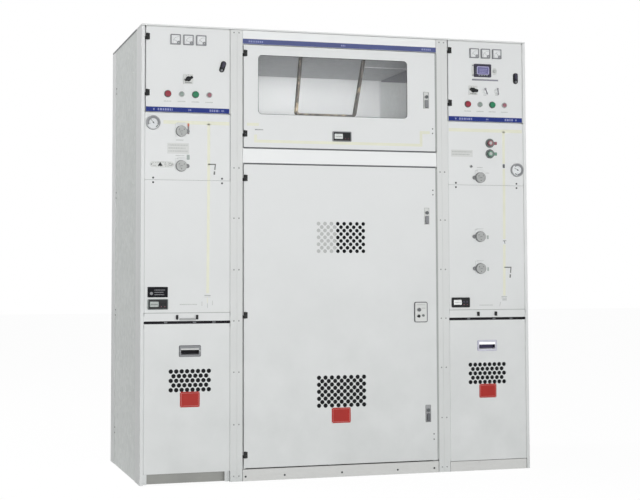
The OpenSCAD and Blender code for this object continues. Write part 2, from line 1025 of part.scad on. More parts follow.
// Row of two large push buttons and two lamps, in turn.
module push_buttons(door) {
    for (i = [0 : 3])
        button(
            door + [buttons_x + i * buttons_pitch, buttons_z],
            i % 2 == 0 ? large_button_r : button_r,
            i % 2 == 0 ? large_button_out : button_out
        );
}

// Swing handle lock of an instrument door: escutcheon, handle and the key barrel under it.
module door_lock(at, turn) {
    translate([at[0], 0, at[1]])
        rotate([0, turn, 0]) {
            upright(-door_lock_t, door_lock_t)
                translate(-[door_lock_w, door_lock_h] / 2)
                    round_rect(door_lock_w, door_lock_h, door_lock_r);
            upright(-handle_out, handle_out)
                translate([-handle_w / 2, handle_low])
                    round_rect(handle_w, handle_h, handle_r);
            disc(0, handle_key, handle_key_r, handle_key_out);
        }
}

module left_door_controls() {
    door = [left_door_x, z_instrument];
    color(dark) place() {
        push_buttons(door);
        rotary_switch(door + left_rotary, left_grip_turn);
        door_lock(door + left_lock, left_lock_turn);
    }
}

module right_door_controls() {
    door = [right_door_x, z_instrument];
    color(dark) place() {
        push_buttons(door);
        rotary_switch(door + right_rotary, right_grip_turn);
        for (x = key_switches)
            button(door + [x, key_switch_z], key_switch_r, key_switch_out);
        door_lock(door + right_lock, 0);
    }
}

module protection_relay() {
    door = [right_door_x, z_instrument];
    color(dark) place() {
        case(door + relay_at, relay_w, relay_h, relay_t, corner_r, relay_rim, relay_sunk);
        button(door + reset_at, reset_r, reset_out);
        upright(-ledge_t, ledge_t)
            translate(door + ledge_at)
                square([ledge_w, ledge_h]);
    }
}

// Flat lever lock: a dish with the folded lever in it and the key barrel above.
module lever_lock(at) {
    case(at - [lock_w, lock_h] / 2, lock_w, lock_h, plate_t, corner_r, lock_rim, lock_sunk);
    upright(-lever_out, lever_out)
        translate(at + [-lever_w / 2, lever_low - lock_h / 2])
            round_rect(lever_w, lever_l, corner_r);
    disc(at[0], at[1] + lever_key_rise, lever_key_r, lever_out);
}

module window_door_fittings() {
    door = [window_door_x, z_window_door];
    color(steel) place() {
        lever_lock(door + [window_door_w - lock_inset, window_lock]);
        display(door + window_display);
    }
}

module main_door_locks() {
    color(steel) place()
        for (z = [low_lock, main_door_h - high_lock])
            lever_lock([main_door_x + main_door_w - lock_inset, z_main_door + z]);
}

// Interlock plate at the height of the latch, with its round lock barrel.
module main_door_interlock() {
    at = [
        main_door_x + main_door_w - interlock_inset,
        z_main_door + main_door_h / 2 - interlock_drop
    ];
    color(steel) place() {
        case(at, interlock_w, interlock_h, interlock_t, interlock_r, interlock_rim, interlock_sunk);
        disc(at[0] + barrel_at[0], at[1] + barrel_at[1], lock_barrel_r, lock_barrel_out);
    }
}

// ---------------------------------------------------------------- busbar

// Points of an arc about c, between two angles.
function arc(c, r, a0, a1) =
    [for (k = [0 : bend_steps]) c + r * [
        cos(a0 + (a1 - a0) * k / bend_steps),
        sin(a0 + (a1 - a0) * k / bend_steps)
    ]];

// Loop of flat bar: a level foot, two bends, and two strands that lean to the right up to the ceiling.
module busbar_loop() {
    left_rise = atan2(bar_drop, bar_lean);
    right_rise = atan2(bar_drop, bar_lean + bar_spread);
    left_c = [bar_bend / tan(left_rise / 2), bar_bend];
    right_c = [bar_foot - bar_bend * tan(right_rise / 2), bar_bend];
    right_top = bar_foot + bar_lean + bar_spread;
    inner_bend = bar_bend - bar_t;
    color([0.3, 0.2, 0.12]) place()
        translate([window_door_x + bar_x, bar_y, z_ceiling - bar_drop])
            upright(0, bar_w)
                polygon(concat(
                    [[bar_lean + bar_t / sin(left_rise), bar_drop], [bar_lean, bar_drop]],
                    arc(left_c, bar_bend, 90 + left_rise, 270),
                    arc(right_c, bar_bend, 270, 270 + right_rise),
                    [[right_top, bar_drop], [right_top - bar_t / sin(right_rise), bar_drop]],
                    arc(right_c, inner_bend, 270 + right_rise, 270),
                    arc(left_c, inner_bend, 270, 90 + left_rise)
                ));
}

// ---------------------------------------------------------------- nodes

corner_posts();
inner_posts();
end_panels();
partitions();
roof_plates();
rear_panels();
base_channels();
floor_plates();
plinth_plates();
backing_strips();
middle_rails();
compartment_plates();
left_instrument_box();
right_instrument_box();
mechanism_covers();
main_covers();
left_cable_cover();
right_cable_cover();
sill_strips();
sill_latches();
cover_pulls();
gas_gauges();
shaft_covers();
position_indicator();
switching_buttons();
voltage_displays();
hinge_lugs();
busbar_loop();
left_instrument_door();
left_meters();
left_door_controls();
left_door_hinges();
right_instrument_door();
right_meters();
protection_relay();
right_door_controls();
right_door_hinges();
window_door();
window_glass();
window_door_fittings();
window_door_hinges();
main_door();
main_door_locks();
main_door_interlock();
main_door_hinges();
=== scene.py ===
"""Visual model of the ring main unit: materials, small details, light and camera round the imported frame."""

import random
from math import atan2, cos, pi, radians, sin, tan

import bmesh
import bpy
from mathutils import Matrix, Vector


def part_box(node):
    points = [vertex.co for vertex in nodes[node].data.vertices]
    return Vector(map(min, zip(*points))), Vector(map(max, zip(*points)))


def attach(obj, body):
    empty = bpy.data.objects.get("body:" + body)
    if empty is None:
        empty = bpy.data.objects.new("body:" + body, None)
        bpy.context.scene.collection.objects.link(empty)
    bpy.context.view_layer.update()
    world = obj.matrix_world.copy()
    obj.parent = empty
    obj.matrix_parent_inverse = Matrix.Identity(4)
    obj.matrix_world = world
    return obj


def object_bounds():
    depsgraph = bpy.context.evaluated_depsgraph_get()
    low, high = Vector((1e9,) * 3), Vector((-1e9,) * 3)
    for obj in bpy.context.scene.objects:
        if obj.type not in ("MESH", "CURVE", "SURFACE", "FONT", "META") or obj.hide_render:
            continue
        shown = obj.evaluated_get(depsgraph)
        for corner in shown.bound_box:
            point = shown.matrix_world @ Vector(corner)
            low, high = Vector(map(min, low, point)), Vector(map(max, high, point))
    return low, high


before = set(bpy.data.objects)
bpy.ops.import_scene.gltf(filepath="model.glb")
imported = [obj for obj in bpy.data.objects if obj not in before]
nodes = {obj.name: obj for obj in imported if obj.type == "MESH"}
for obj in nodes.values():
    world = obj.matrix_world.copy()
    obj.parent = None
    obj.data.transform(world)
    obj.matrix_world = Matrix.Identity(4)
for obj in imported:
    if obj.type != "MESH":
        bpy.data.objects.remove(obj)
cad_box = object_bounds()
rng = random.Random(7)

MM = 0.001
ROOT = "switchgear"
WINDOW_DOOR, MAIN_DOOR = "window_door", "main_door"
WHITE = (1, 1, 1, 1)


# ---- node materials

def srgb(code):
    """Linear colour of a six-digit hex code."""
    out = []
    for i in (0, 2, 4):
        c = int(code[i:i + 2], 16) / 255
        out.append(c / 12.92 if c <= 0.04045 else ((c + 0.055) / 1.055) ** 2.4)
    return (*out, 1)


def shade(code, k):
    """Linear colour of a hex code, k times as bright."""
    return (*(min(1, c * k) for c in srgb(code)[:3]), 1)


class Nodes:
    """The node tree of a new material or of the world, with short calls for the nodes used here."""

    def __init__(self, name, world=None):
        self.material = world or bpy.data.materials.new(name)
        self.material.use_nodes = True
        self.tree = self.material.node_tree
        self.tree.nodes.clear()
        output = "ShaderNodeOutputWorld" if world else "ShaderNodeOutputMaterial"
        self.surface = self.add(output, {}).inputs["Surface"]
        if not world:
            self.place = self.add("ShaderNodeTexCoord", {}).outputs["Object"]

    def add(self, kind, inputs, **attributes):
        """A new node. Each of its inputs named here is linked to a socket or given a plain value."""
        node = self.tree.nodes.new(kind)
        for key, value in attributes.items():
            setattr(node, key, value)
        for key, value in inputs.items():
            if isinstance(value, bpy.types.NodeSocket):
                self.tree.links.new(value, node.inputs[key])
            else:
                node.inputs[key].default_value = value
        return node

    def noise(self, scale, detail=3, rough=0.55, stretch=None):
        place = self.place
        if stretch:
            place = self.add("ShaderNodeMapping", {"Scale": stretch, "Vector": place}).outputs[0]
        inputs = {"Scale": scale, "Detail": detail, "Roughness": rough, "Vector": place}
        return self.add("ShaderNodeTexNoise", inputs).outputs["Fac"]

    def ranged(self, value, a=0.3, b=0.7, low=0, high=1):
        """The value carried from the range a..b to low..high and held there."""
        return self.add("ShaderNodeMapRange", {0: value, 1: a, 2: b, 3: low, 4: high}).outputs[0]

    def axes(self, vector):
        return self.add("ShaderNodeSeparateXYZ", {0: vector}).outputs

    def math(self, kind, a, b):
        return self.add("ShaderNodeMath", {0: a, 1: b}, operation=kind).outputs[0]

    def mix(self, factor, a, b):
        """Colour a where the factor is 0 and colour b where it is 1."""
        return self.add("ShaderNodeMix", {0: factor, 6: a, 7: b}, data_type="RGBA").outputs[2]

    def shader(self, colour, rough, metal, **own):
        """The Principled shader: linked colour and roughness, other values on its own sockets."""
        inputs = {"Base Color": colour, "Roughness": rough, "Metallic": metal}
        inputs.update({key.replace("_", " "): value for key, value in own.items() if value is not None})
        node = self.add("ShaderNodeBsdfPrincipled", inputs)
        self.tree.links.new(node.outputs[0], self.surface)
        return node

    def bump(self, height, strength, depth):
        return self.add("ShaderNodeBump", {"Strength": strength, "Distance": depth, "Height": height}).outputs[0]

    def blend(self, factor, a, b):
        """Puts shader a on the surface where the factor is 0 and shader b where it is 1."""
        node = self.add("ShaderNodeMixShader", {0: factor, 1: a.outputs[0], 2: b.outputs[0]})
        self.tree.links.new(node.outputs[0], self.surface)

    def seen(self):
        """1 on rays from the camera, off a glossy surface or through glass, and 0 on others."""
        path = self.add("ShaderNodeLightPath", {}).outputs
        near = self.math("MAXIMUM", path["Is Camera Ray"], path["Is Glossy Ray"])
        return self.math("MAXIMUM", near, path["Is Transmission Ray"])


def coated(name, code, rough, metal, mottle, patch, grain, bump, specular=None, coat=None, swing=0.06, depth=0.0002,
           stretch=None):
    """A material with patches of slightly lighter and darker colour, uneven gloss and a fine grain."""
    n = Nodes(name)
    broad = n.noise(patch, 4)
    fine = n.noise(grain, 2, stretch=stretch)
    tone = n.mix(n.ranged(broad), shade(code, 1 - mottle), shade(code, 1 + mottle))
    gloss = n.ranged(n.math("ADD", broad, fine), 0.7, 1.3, max(0.02, rough - swing), rough + swing)
    n.shader(tone, gloss, metal, Normal=n.bump(fine, bump, depth), Specular_IOR_Level=specular, Coat_Weight=coat)
    return n.material


def powder_coat(name, code, end_shade=None, end_x=0, from_y=0):
    """Powder-coated steel: orange peel, faint clouding, patchy darkening low down, and painted shade on the row's end
    faces.
    """
    n = Nodes(name)
    cloud = n.noise(1.7, 3)
    peel = n.noise(520, 1)
    speck = n.noise(160, 5, 0.7)
    tone = n.mix(n.ranged(cloud), shade(code, 0.985), shade(code, 1.015))
    tone = n.mix(n.ranged(speck, 0.62, 0.8, 0, 0.25), tone, shade(code, 0.9))
    axes = n.axes(n.place)
    # Darker in patches towards the floor.
    low = n.ranged(axes["Z"], 0, 1.5, 1, 0)
    low_darkening = n.math("MULTIPLY", low, n.ranged(n.noise(5, 5), 0.25, 0.75, 0.35, 1))
    tone = n.mix(low_darkening, tone, srgb("CACDCC"))
    # Painted shade: a dark band on the end faces from from_y back.
    if end_shade:
        ends = n.math("GREATER_THAN", n.math("ABSOLUTE", axes["X"], 0), end_x)
        tone = n.mix(n.math("MULTIPLY", ends, n.math("GREATER_THAN", axes["Y"], from_y)), tone, srgb(end_shade))
    gloss = n.ranged(cloud, 0.3, 0.7, 0.48 - 0.05, 0.48 + 0.06)
    n.shader(tone, gloss, 0, Normal=n.bump(peel, 0.12, 0.00025), Specular_IOR_Level=0.25, Coat_Weight=0.05,
             Coat_Roughness=0.3)
    return n.material


def plinth_coat(name, code, dark, x_dark):
    """Painted kick plates, the set-back one left of x_dark darker as painted shade of its recess."""
    n = Nodes(name)
    cloud = n.noise(6, 4)
    scuff = n.noise(90, 5, 0.7, stretch=(0.3, 1, 1))
    axes = n.axes(n.place)
    pale = n.mix(n.ranged(cloud), shade(code, 0.97), shade(code, 1.02))
    painted_dark = n.mix(n.ranged(cloud), shade(dark, 0.9), shade(dark, 1.12))
    # Left of x_dark the set-back plate takes the dark tone as painted shade of its recess.
    tone = n.mix(n.math("LESS_THAN", axes["X"], x_dark), pale, painted_dark)
    tone = n.mix(n.ranged(scuff, 0.6, 0.8, 0, 0.3), tone, shade(dark, 0.8))
    n.shader(tone, n.ranged(cloud, 0.3, 0.7, 0.42, 0.6), 0, Normal=n.bump(scuff, 0.12, 0.00025))
    return n.material


def galvanised(name, code, spangle, contrast, metal, rough):
    """Hot-dip galvanised sheet: crystals of uneven tone and gloss under a thin dull film."""
    n = Nodes(name)
    warp = n.noise(9, 3)
    cell = n.add("ShaderNodeTexVoronoi", {"Scale": spangle, "Randomness": 1, "Vector": n.place}, feature="F1")
    parts = n.add("ShaderNodeSeparateColor", {0: cell.outputs["Color"]}).outputs
    tone = n.mix(parts[0], shade(code, 1 - contrast), shade(code, 1 + contrast))
    tone = n.mix(n.ranged(warp, 0.35, 0.7, 0, 0.6), tone, shade(code, 0.93))
    streak = n.noise(14, 5, 0.6, stretch=(1, 1, 0.12))
    tone = n.mix(n.ranged(streak, 0.55, 0.75, 0, 0.3), tone, shade(code, 1.12))
    gloss = n.ranged(parts[1], 0, 1, rough - 0.08, rough + 0.12)
    n.shader(tone, gloss, metal, Normal=n.bump(parts[2], 0.08, 0.0002))
    return n.material


def pull_metal(name, left, right):
    """Brushed die-cast pull in flat tones: the left one darker as painted shade, the right one bright and slightly blue
    as painted reflection.
    """
    n = Nodes(name)
    brush = n.noise(240, 3, stretch=(0.1, 1, 1))
    axes = n.axes(n.place)
    tone = n.mix(n.math("GREATER_THAN", axes["X"], 0), srgb(left), srgb(right))
    tone = n.mix(n.ranged(brush, 0.35, 0.65, 0, 0.3), tone, shade(left, 0.85))
    n.shader(tone, n.ranged(brush, 0.3, 0.7, 0.36, 0.5), 0, Normal=n.bump(brush, 0.08, 0.0001), Specular_IOR_Level=0.3)
    return n.material


def insulated_bar(name):
    """Busbar in dark shrink sleeve with pale worn patches, most of them on its narrow edges as painted highlight."""
    n = Nodes(name)
    facing = n.axes(n.add("ShaderNodeTexCoord", {}).outputs["Normal"])
    # Faces turned away from the front get pale patches, painted highlight on top of the wear.
    edge = n.ranged(n.math("ABSOLUTE", facing["Y"], 0), 0.35, 0.8, 1, 0)
    worn = n.noise(26, 5, 0.65)
    sleeve = n.mix(n.ranged(worn, 0.35, 0.65), srgb("1B1917"), srgb("4A4138"))
    pale_wear_and_highlight = n.mix(n.ranged(worn, 0.4, 0.6), srgb("A98F6C"), srgb("DCCBAA"))
    cover = n.math("MULTIPLY", n.ranged(edge, 0, 1, 0.55, 1), n.ranged(n.noise(13, 4), 0.56, 0.66))
    n.shader(n.mix(cover, sleeve, pale_wear_and_highlight), n.ranged(worn, 0.3, 0.7, 0.35, 0.6), 0, Normal=n.bump(worn, 0.3, 0.0008),
             Specular_IOR_Level=0.4)
    return n.material


def clear_glass(name):
    """Clear pane that lets the lamps' light through to the compartment."""
    n = Nodes(name)
    smear = n.noise(7, 4)
    tone = n.mix(smear, (0.975, 0.98, 0.98, 1), WHITE)
    glass = n.shader(tone, n.ranged(smear, 0.3, 0.8, 0, 0.03), 0, Transmission_Weight=1, IOR=1.45)
    clear = n.add("ShaderNodeBsdfTransparent", {"Color": (0.98, 0.985, 0.985, 1)})
    n.blend(n.add("ShaderNodeLightPath", {}).outputs["Is Shadow Ray"], glass, clear)
    return n.material


ROOF_LIP = 0.152
PAINT = powder_coat("paint", "E0E2E2")
# The roof's side folds carry a dark band of painted shade.
ROOF = powder_coat("roof_paint", "E0E2E1", end_shade="66686A", end_x=cad_box[1][0] - MM,
                   from_y=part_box("main_door")[0].y + ROOF_LIP)
POST = powder_coat("post_paint", "D8DAD9")
RAIL = powder_coat("rail_paint", "ECEEEE")
REAR = powder_coat("rear_paint", "F5F6F6")
PLINTH = plinth_coat("plinth_paint", "CACBC9", "8E8F8B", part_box("inner_posts")[0].x)
SIDE_SHEET = galvanised("galvanised_side_sheet", "C2C6C4", 45, 0.05, 0.3, 0.45)
ZINC = galvanised("galvanised_sheet", "B4B8B7", 60, 0.08, 0.55, 0.4)
COMPARTMENT = galvanised("compartment_sheet", "B9BBBE", 60, 0.05, 0.1, 0.5)
PARTITION = galvanised("partition_sheet", "F6F8F7", 60, 0.04, 0, 0.5)
# Painted shadow: a dark sheet for the shade high in the window compartment.
PAINTED_SHADOW = coated("painted_shadow_sheet", "85868F", 0.5, 0.1, 0.05, 12, 900, 0.1)
CASTING = coated("black_zinc_casting", "1A1B1C", 0.5, 0, 0.12, 40, 700, 0.35, 0.25)
BLACK = coated("black_plastic", "151719", 0.5, 0, 0.1, 30, 1500, 0.25, 0.2)
METER_FRAME = coated("meter_frame", "85878A", 0.5, 0, 0.06, 30, 1500, 0.2, 0.3)
RELAY_CASE = coated("relay_plastic", "3A3747", 0.5, 0, 0.08, 30, 1500, 0.2, 0.25)
LOCK = coated("lock_metal", "8A8C8D", 0.45, 0.2, 0.08, 30, 400, 0.12)
METER_CASE = coated("meter_plastic", "5E6063", 0.5, 0, 0.08, 30, 1500, 0.2, 0.25)
SATIN = coated("fitting_metal", "A9ABAA", 0.45, 0.3, 0.06, 25, 300, 0.15, swing=0.08, depth=0.0001, stretch=(1, 1, 9))
RING = coated("gauge_ring", "A0A2A4", 0.45, 0.1, 0.06, 25, 300, 0.1, swing=0.08, depth=0.0001)
CHROME = pull_metal("pull_metal", "85878A", "D2D2DE")
# Painted highlight: the right pull's bright lip and the bright line across the compartment ceiling.
PAINTED_HIGHLIGHT = coated("painted_highlight", "F1F1F4", 0.3, 0.1, 0.02, 20, 260, 0.06, depth=0.0001)
CUP = coated("pull_cup", "17161A", 0.6, 0, 0.1, 20, 600, 0.2, 0.1)
CUP_BLUE = coated("blue_pull_cup", "36324A", 0.6, 0, 0.1, 20, 600, 0.2, 0.2)
PULL_EDGE = coated("lavender_edge", "A6A4BA", 0.5, 0, 0.06, 20, 600, 0.1)
# Painted shade: dark sheets behind the vent holes and dark rims round them.
HOLE_SHADE = coated("vent_hole_shade", "17181A", 0.8, 0, 0.2, 60, 700, 0.6, 0.15, depth=0.0006)
RIM_SHADE = coated("vent_rim_shade", "2E3032", 0.7, 0, 0.1, 60, 900, 0.1)
SEAL = coated("pale_door_seal", "CFD1D0", 0.7, 0, 0.04, 30, 700, 0.2)
POST_SCREW = coated("post_screw", "8D908F", 0.5, 0.2, 0.12, 60, 900, 0.15)
GUARD = coated("button_guard", "5E6664", 0.45, 0.1, 0.08, 30, 1200, 0.15)
BAR = insulated_bar("busbar")
GLASS = clear_glass("window_glass")
SCREW = coated("blackened_screw", "3A3D3E", 0.5, 0.3, 0.15, 60, 900, 0.15, 0.25)
BRIGHT_SCREW = coated("zinc_screw", "C4C6C4", 0.32, 0.8, 0.1, 60, 900, 0.15)
STRIPE = coated("blue_stripe", "21327C", 0.5, 0, 0.06, 8, 1400, 0.05, 0.15)
STRIPE_PALE = coated("faded_blue_stripe", "4A5383", 0.5, 0, 0.12, 4, 1400, 0.05, 0.3)
PALE_PRINT = coated("worn_white_print", "848BB8", 0.5, 0, 0.06, 60, 1400, 0.05)
DARK_PRINT = coated("dark_print", "646765", 0.5, 0, 0.08, 60, 1400, 0.05)
GREY_PRINT = coated("grey_print", "B4B7B5", 0.5, 0, 0.05, 60, 1400, 0.05)
MIMIC = coated("mimic_tape", "DDDECB", 0.45, 0, 0.04, 9, 1200, 0.1)
FAINT_PLATE = coated("printed_plate", "CED0CE", 0.4, 0, 0.02, 20, 1200, 0.05)
RED_PLATE = coated("red_plate", "A62F2A", 0.5, 0, 0.06, 20, 1300, 0.06, 0.15)
PINK_PRINT = coated("worn_red_print", "C88C88", 0.5, 0, 0.06, 20, 1300, 0.06)
PUSH_RED = coated("red_pusher", "86404C", 0.35, 0, 0.1, 60, 500, 0.1, coat=0.2)
PUSH_GREEN = coated("green_pusher", "55846F", 0.35, 0, 0.1, 60, 500, 0.1, coat=0.2)
RED_LENS = coated("red_lens", "8E2636", 0.45, 0, 0.1, 60, 500, 0.1, 0.3)
DIM_RED = coated("dim_red_lens", "8A4A58", 0.25, 0, 0.15, 90, 500, 0.1, coat=0.4)
GREEN_LENS = coated("green_lens", "1A7650", 0.45, 0, 0.1, 60, 500, 0.1, 0.3)
GREY_LENS = coated("grey_lens", "7E8E86", 0.25, 0, 0.1, 60, 500, 0.1, coat=0.4)
FLAG_STRIP = coated("flag_strip", "7A6C6C", 0.4, 0, 0.08, 60, 900, 0.08)
ORANGE = coated("orange_flag", "B85A40", 0.35, 0, 0.08, 60, 900, 0.08)
GREY_FLAG = coated("grey_green_flag", "98A29E", 0.35, 0, 0.06, 60, 900, 0.08)
DIAL = coated("dial_face", "DCDEDF", 0.3, 0, 0.03, 40, 1400, 0.03, coat=0.6)
GAUGE_FACE = coated("gauge_face", "D4D7D9", 0.4, 0, 0.03, 40, 1400, 0.03, coat=0.2)
NEEDLE = coated("dial_mark", "4A5051", 0.4, 0, 0.1, 60, 1400, 0.03)
SCREEN = coated("lilac_screen", "625F90", 0.16, 0, 0.05, 30, 1400, 0.02, coat=0.8)
SCREEN_RIM = coated("screen_rim", "A9A6CE", 0.4, 0, 0.05, 60, 1400, 0.02)
SCREEN_TEXT = coated("screen_marks", "8C8ABB", 0.2, 0, 0.05, 60, 1400, 0.02)
KEY = coated("key_metal", "85858A", 0.4, 0.2, 0.08, 60, 500, 0.08)
PALE_SCREEN = coated("pale_screen", "A6A9A9", 0.18, 0, 0.05, 30, 1400, 0.02, coat=0.8)
BRIGHT_SCREEN = coated("bright_screen", "DCDFDE", 0.3, 0, 0.05, 30, 1400, 0.02)
MATT = coated("matt_black", "1C1D20", 0.6, 0, 0.1, 30, 1500, 0.2, 0.05)
DIM_SCREEN = coated("dim_screen", "8F9996", 0.3, 0, 0.25, 90, 1400, 0.02)
DISC = coated("turned_disc", "969897", 0.45, 0.2, 0.06, 25, 300, 0.15, swing=0.08, depth=0.0001)
# Painted shade: grey strips along door edges and in gaps and seams.
EDGE_SHADE = coated("painted_edge_shade", "A4A7A6", 0.55, 0, 0.04, 30, 900, 0.1)
LUG = coated("lug_metal", "77797B", 0.5, 0, 0.06, 30, 900, 0.1)
LEDGE_GREY = coated("ledge_paint", "83848E", 0.5, 0, 0.06, 30, 900, 0.1)
BAR_GREY = coated("pull_bar_paint", "9C9E9E", 0.5, 0, 0.05, 30, 900, 0.1)
BAFFLE = coated("vent_baffle_sheet", "B2B4B3", 0.5, 0, 0.05, 20, 900, 0.08)
RUBBER = coated("window_gasket", "3A3D3F", 0.7, 0, 0.1, 30, 800, 0.2)

SKINS = {
    ROOF: "roof_plates",
    POST: "inner_posts",
    RAIL: "middle_rails",
    REAR: "rear_panels",
    PAINT: """corner_posts backing_strips mechanism_covers main_covers left_cable_cover right_cable_cover sill_strips
        left_instrument_door right_instrument_door window_door main_door""",
    PLINTH: "plinth_plates",
    SIDE_SHEET: "end_panels",
    ZINC: "base_channels floor_plates left_instrument_box right_instrument_box",
    COMPARTMENT: "compartment_plates",
    PARTITION: "partitions",
    CASTING: "hinge_lugs left_door_hinges right_door_hinges window_door_hinges main_door_hinges",
    BLACK: "sill_latches voltage_displays left_door_controls right_door_controls",
    METER_FRAME: "left_meters right_meters",
    RELAY_CASE: "protection_relay",
    SATIN: "gas_gauges shaft_covers position_indicator main_door_interlock",
    LOCK: "window_door_fittings main_door_locks",
    CHROME: "cover_pulls",
    GUARD: "switching_buttons",
    BAR: "busbar_loop",
    GLASS: "window_glass",
}
for material, names in SKINS.items():
    for name in names.split():
        mesh = nodes[name].data
        mesh.materials.clear()
        mesh.materials.append(material)


# ---- outlines, in millimetres

def polar(x, z, r, t):
    """The point r away from x, z at the angle t."""
    return x + r * cos(t), z + r * sin(t)


def around(x, z, a, b):
    """Corners of the rectangle that reaches a and b to each side of x, z."""
    return x - a, z - b, x + a, z + b


def grown(x0, z0, x1, z1, by):
    """Corners of a rectangle that grows by so much to every side."""
    return x0 - by, z0 - by, x1 + by, z1 + by


def rect(x0, z0, x1, z1):
    return [(x0, z0), (x1, z0), (x1, z1), (x0, z1)]


def spoke(x, z, degrees, *radii):
    """Points at these radii on one line out of x, z."""
    return [polar(x, z, r, radians(degrees)) for r in radii]


def rounded(x0, z0, x1, z1, r, inset=0):
    """Rectangle with round corners, drawn in by inset."""
    x0, z0, x1, z1, r = x0 + inset, z0 + inset, x1 - inset, z1 - inset, max(r - inset, 0.1)
    corners = ((x1 - r, z1 - r, 0), (x0 + r, z1 - r, 90), (x0 + r, z0 + r, 180), (x1 - r, z0 + r, 270))
    return [polar(cx, cz, r, radians(a + 22.5 * k)) for cx, cz, a in corners for k in range(5)]


def circle(x, z, r, steps=32):
    return [polar(x, z, r, 2 * pi * k / steps) for k in range(steps)]


def hexagon(x, z, r, steps):
    """A hexagon r to its flats, with as many points as a circle has, so that the two can be joined."""
    angles = [2 * pi * k / steps for k in range(steps)]
    return [polar(x, z, r / cos((t % (pi / 3)) - pi / 6), t) for t in angles]


def arc_band(x, z, r0, r1, a0, a1, steps=24):
    """Part of a ring between two radii and two angles in degrees."""
    angles = [radians(a0 + (a1 - a0) * k / steps) for k in range(steps + 1)]
    return [polar(x, z, r1, t) for t in angles] + [polar(x, z, r0, t) for t in reversed(angles)]


def turned(points, x, z, degrees):
    """The points turned anticlockwise about x, z."""
    c, s = cos(radians(degrees)), sin(radians(degrees))
    return [(x + (a - x) * c - (b - z) * s, z + (a - x) * s + (b - z) * c) for a, b in points]


def placed(name, data):
    """A new object in the scene."""
    ob = bpy.data.objects.new(name, data)
    bpy.context.scene.collection.objects.link(ob)
    return ob


class Panel:
    """A flat face: its lower left corner, the way right along it and the way out of it."""

    def __init__(self, corner, right=(1, 0, 0), out=(0, -1, 0)):
        self.corner, self.right, self.out = Vector(corner), Vector(right), Vector(out)

    def point(self, x, z, out):
        return self.corner + MM * (x * self.right + out * self.out + Vector((0, 0, z)))


pieces = []
MIMIC_W = 14


